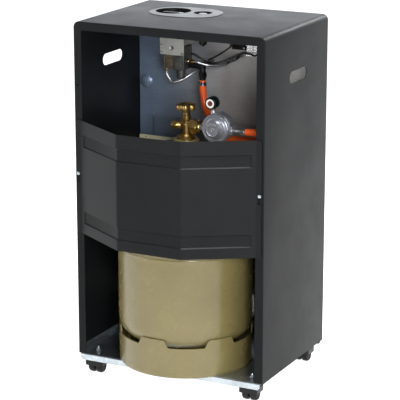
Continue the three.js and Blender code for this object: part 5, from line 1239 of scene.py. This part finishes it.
piezo_line = [(0, 671.7), (3, 671.7), (3, 674.6), (6.4, 675.2), (7.6, 676.4), (8, 678), (8, 696),
              (7.3, 696.6), (7.3, 699.4), (8, 700), (8, 710.5), (10, 710.9), (10, 713.3), (9.4, 713.7),
              (0, 713.7)]
piece("piezo_igniter_body", *turned(piezo_line, "z", (BUTTON_X, BUTTON_Y, 0), 32), black_plastic,
      "black_plastic", "piezo_igniter")

# %% [markdown]
# # The base and the casters
# A zinc-coated tray closes the bottom. Its front and rear edges are bent down into lips with cut corners,
# and its sides are bent up and fixed inside the cabinet. Each caster's pin comes up through it to a nut.
# A caster is a moulded hood on a swivel pin, over two small wheels that turn on one axle. The axle is set
# back from the pin.

# %% Base plate
LIP_FOOT = 30.0
tray_line = path_frame(soften([(REAR, LIP_FOOT), (REAR, BASE_TOP), (-REAR, BASE_TOP), (-REAR, LIP_FOOT)],
                              [0, 2.0, 2.0, 0], 5)[::-1])
tray_length = tray_line[0][-1]
TRAY_X = SIDE - 1.5


def tray_form(x, s, depth):
    """The tray's sheet along a bent line in the cross-section, at each x."""
    y, z = follow(tray_line, s, -depth)
    return np.stack([x, y, z], axis=1)


cut_lip = 13.0
tray_corner = [(TRAY_X - 8, 0), (TRAY_X - 4, 4), (TRAY_X - 4, cut_lip), (TRAY_X, cut_lip)]
tray_right = tray_corner + [(x, tray_length - s) for x, s in tray_corner[::-1]]
tray_outline = tray_right + [(-x, s) for x, s in tray_right[::-1]]
CASTER_X, CASTER_Y = SIDE - 33, REAR - 24.5
pins = [(sx * CASTER_X, sy * CASTER_Y) for sx in (-1, 1) for sy in (-1, 1)]
tray_holes = [circle(x, tray_length / 2 + y, 3.3, 16) for x, y in pins]
tray = fold(*blank(tray_outline, tray_holes, (), tray_line[0][1:-1]), tray_form, GAUGE)
mirror_zinc = finish("bright_mirror_zinc", "#c3cbd0", "#9ba3a8", 0.2, metallic=0.95, patch=22, grain=6,
                     relief=0.004)
TRAY_SIDE_TOP = 57.0
sides = [box(x - GAUGE / 2, x + GAUGE / 2, -REAR + 4, REAR - 4, BASE_TOP - 0.8, TRAY_SIDE_TOP, 0.4, 2.5, "x")
         for x in (TRAY_X - GAUGE / 2, GAUGE / 2 - TRAY_X)]
piece("folded_base_tray", *together(tray, *sides), mirror_zinc, "zinc_plate", "base_plate", sharp=30)

# %% Pin nuts, caster plates and wheels
WHEEL_RIM, WHEEL_HALF, TREAD_ROUND, WHEEL_GAP, WHEEL_BACK = 13.2, 7.25, 4.6, 8.25, 5.0
PLATE_HALF, PLATE_TOP, PLATE_GAUGE = 22.0, 41.5, 2.0
hardware = []
washer_line = [(3.2, 0.1), (7.4, 0.1), (7.4, 1.1), (3.2, 1.1), (3.2, 0.1)]
pin_line = [(0, -1.2), (2.9, -1.2), *threads(2.9, 0, 10.4, 1.6, 0.3), (2.2, 11), (0, 11)]
for x, y in pins:
    on_tray = (x, y, BASE_TOP)
    hardware.append(turned(washer_line, "z", on_tray, 24))
    hardware.append(hexagon_nut(5.6, 1.2, 5.8, "z", on_tray, 0.8))
    hardware.append(turned(pin_line, "z", on_tray, 20))
piece("caster_pin_nuts", *together(*hardware), zinc_plate, "zinc_plate", sharp=30)


def wheel_line(side):
    """One wheel of a caster's pair: the tread's rounded edges, and a dished face with a raised hub."""
    face = [(2.9, WHEEL_HALF), (5.2, WHEEL_HALF), (5.6, 6.2), (9.4, 5.8), (9.9, WHEEL_HALF),
            (10.6, WHEEL_HALF)]
    tread = [(WHEEL_RIM - TREAD_ROUND + TREAD_ROUND * math.cos(a),
              WHEEL_HALF - TREAD_ROUND + TREAD_ROUND * math.sin(a))
             for a in np.linspace(math.pi / 2, 0, 6)]
    rest = [(r, -w) for r, w in tread[::-1]] + [(9.0, -WHEEL_HALF), (2.9, -WHEEL_HALF), (2.9, WHEEL_HALF)]
    return [(r, side * w) for r, w in face + tread + rest]


def plate_form(x, y, depth):
    """A flat plate that lies level."""
    return np.stack([x, y, PLATE_TOP - depth + 0 * x], axis=1)


for row, sy in (("rear", 1), ("front", -1)):
    for column, sx in (("left", 1), ("right", -1)):
        corner = f"{row}_{column}"
        x, y = sx * CASTER_X, sy * CASTER_Y
        plate = blank(rectangle(x - PLATE_HALF, x + PLATE_HALF, y - PLATE_HALF, y + PLATE_HALF, 3.5, 4),
                      [circle(x, y, 4.5, 20)])
        formed = fold(*plate, plate_form, PLATE_GAUGE)
        piece(f"caster_plate_{corner}_sheet", *formed, zinc_plate, "zinc_plate", f"caster_plate_{corner}",
              sharp=30)
        for letter, side in (("a", 1), ("b", -1)):
            hub = (x + side * WHEEL_GAP, y + WHEEL_BACK, WHEEL_RIM)
            piece(f"twin_wheel_{corner}_{letter}", *turned(wheel_line(side), "x", hub, 40), black_plastic,
                  "black_plastic", f"caster_wheel_{corner}_{letter}", body=f"wheel_{corner}_{letter}",
                  sharp=35)

# %% [markdown]
# # The front
# The photo shows the back, so the front follows common heaters: a sheet panel with a wide opening and a row
# of air slots, three burners with perforated ceramic plaques in a bright reflector, a pilot burner below
# them, and a guard of welded wire bowed out in front. Each wire is a round section along a bent line.

# %% Front panel
PANEL_FACE = 1.5 - REAR
openings = [rectangle(-172, 172, 335, 700, 12, 6)]
openings += [rectangle(x - 3, x + 3, 78, 122, 2.9, 5) for x in (np.arange(7) - 3) * 40.0]
front_outline = soften([(-TRAY_X, 43.3), (TRAY_X, 43.3), (TRAY_X, TOP - 1.5), (-TRAY_X, TOP - 1.5)],
                       [0.6, 0.6, 10.5, 10.5], 6, closed=True)


def front_form(x, z, depth):
    """A flat sheet whose outer face looks forwards."""
    return np.stack([x, PANEL_FACE + depth + 0 * x, z], axis=1)


piece("slotted_front_panel", *fold(*blank(front_outline, openings), front_form, GAUGE), powder_coat,
      "black_powder_coat", "front_panel", sharp=30)

# %% Wire guard
GUARD_X, GUARD_FOOT, GUARD_TOP, GUARD_Y = 176.0, 331.0, 704.0, PANEL_FACE - 2.3
ROWS, COLUMNS, COLUMN_STEP, ROW_Y, COLUMN_Y, TURN_IN = 11, 4, 70.0, -170.6, -167.8, 16.0
RIM_WIRE_R, WIRE_R = 2.0, 1.4
frame_line = rectangle(-GUARD_X, GUARD_X, GUARD_FOOT, GUARD_TOP, TURN_IN, 8)
rim_path = [(x, GUARD_Y, z) for x, z in np.concatenate([frame_line, frame_line[:2]])]
guard = [tube(rim_path, RIM_WIRE_R, 12)]


def bowed(low, high, depth):
    """A wire from one side of the rim to the other, which stands out to a depth between its two bends."""
    return soften([(low, GUARD_Y), (low + TURN_IN, depth), (high - TURN_IN, depth), (high, GUARD_Y)],
                  [0, 8, 8, 0], 6)


for k in range(1, ROWS + 1):
    z = GUARD_FOOT + k * (GUARD_TOP - GUARD_FOOT) / (ROWS + 1)
    guard.append(tube([(x, y, z) for x, y in bowed(-GUARD_X, GUARD_X, ROW_Y)], WIRE_R, 10))
for k in range(COLUMNS):
    x = (k - (COLUMNS - 1) / 2) * COLUMN_STEP
    guard.append(tube([(x, y, z) for z, y in bowed(GUARD_FOOT, GUARD_TOP, COLUMN_Y)], WIRE_R, 10))
piece("welded_wire_guard", *together(*guard), chrome_wire, "wire_chrome", "guard_grille", sharp=50)

# %% Burners, plaques and pilot
HOLE_PITCH, BURNER_STEP = 4.2, 100.5
PLAQUE_HALF, PLAQUE_FOOT, PLAQUE_TOP, PLAQUE_FACE, PLAQUE_BACK = 44.7, 356.6, 605.4, -146.6, -135.8
CAN_HALF, CAN_FACE, CAN_BACK = 45.2, -135.4, -123.6
TILES, TILE_HALF, TILE_FOOT, TILE_HEIGHT, TILE_STEP = 5, 41.0, 360.0, 45.0, 48.5
ceramic_painted_hole_shade = finish("fired_ceramic_painted_hole_shade", "#ece6da", "#d9d2c3", 0.85, patch=20, grain=1.5, relief=0.2)
tree, shader, plain, place = opened(ceramic_painted_hole_shade)
# The holes are not modelled: dark dots on a grid are painted shade for them.
grid = add_node(tree, "ShaderNodeTexVoronoi", {"feature": "F1"}, {
    "Vector": place, "Scale": 1000 / HOLE_PITCH, "Randomness": 0.0})
hole = add_node(tree, "ShaderNodeMapRange", inputs={
    "Value": grid.outputs["Distance"], "From Min": 0.22, "From Max": 0.34, "To Min": 0.0, "To Max": 1.0})
hole_shade_mix = add_node(tree, "ShaderNodeMix", {"data_type": "RGBA"}, {
    0: hole.outputs[0], 6: linear("#4a4238"), 7: plain})
tree.links.new(hole_shade_mix.outputs[2], shader.inputs["Base Color"])
for name, x in (("left", BURNER_STEP), ("middle", 0.0), ("right", -BURNER_STEP)):
    tiles = [box(x - TILE_HALF, x + TILE_HALF, PLAQUE_FACE - 0.2, PLAQUE_FACE + 6.6, foot,
                 foot + TILE_HEIGHT, 0.8, 3, "y") for foot in TILE_FOOT + TILE_STEP * np.arange(TILES)]
    plaque = box(x - PLAQUE_HALF, x + PLAQUE_HALF, PLAQUE_FACE, PLAQUE_BACK, PLAQUE_FOOT, PLAQUE_TOP, 1.2,
                 2.5, "y")
    piece(f"ceramic_plaque_{name}", *together(plaque, *tiles), ceramic_painted_hole_shade, "ceramic", f"plaque_{name}",
          sharp=30)
    can = together(box(x - CAN_HALF, x + CAN_HALF, CAN_FACE, CAN_BACK, PLAQUE_FOOT - 0.4, PLAQUE_TOP + 0.4,
                       1.0, 3, "y"),
                   box(x - CAN_HALF, x + CAN_HALF, CAN_FACE + 1.4, CAN_FACE + 3.6, PLAQUE_FOOT - 0.5,
                       PLAQUE_TOP + 0.5, 0.4, 2, "y"))
    piece(f"burner_can_{name}", *can, grey_steel, "grey_steel", f"burner_{name}", sharp=30)
pilot = together(box(-14.9, 14.9, CAN_FACE, CAN_BACK, 331.6, 344.4, 0.8, 2, "y"),
                 turned([(0, -134), (1.9, -134), (1.9, -143), (1.5, -145.8), (0, -146.2)], "y",
                        (7.5, 0, 338), 16))
piece("pilot_burner_block", *pilot, grey_steel, "grey_steel", "pilot_burner", sharp=30)

# %% [markdown]
# # The pieces that stay as they are
# Plain solids whose shape is already right keep it, and get the finish of the real piece.

# %% Finishes of the solids
for part in frame["record"]["subparts"]:
    node = frame["nodes"][part["node"]]
    node.data.materials.clear()
    node.data.materials.append(CAD_FINISHES[part["material_slot"]])
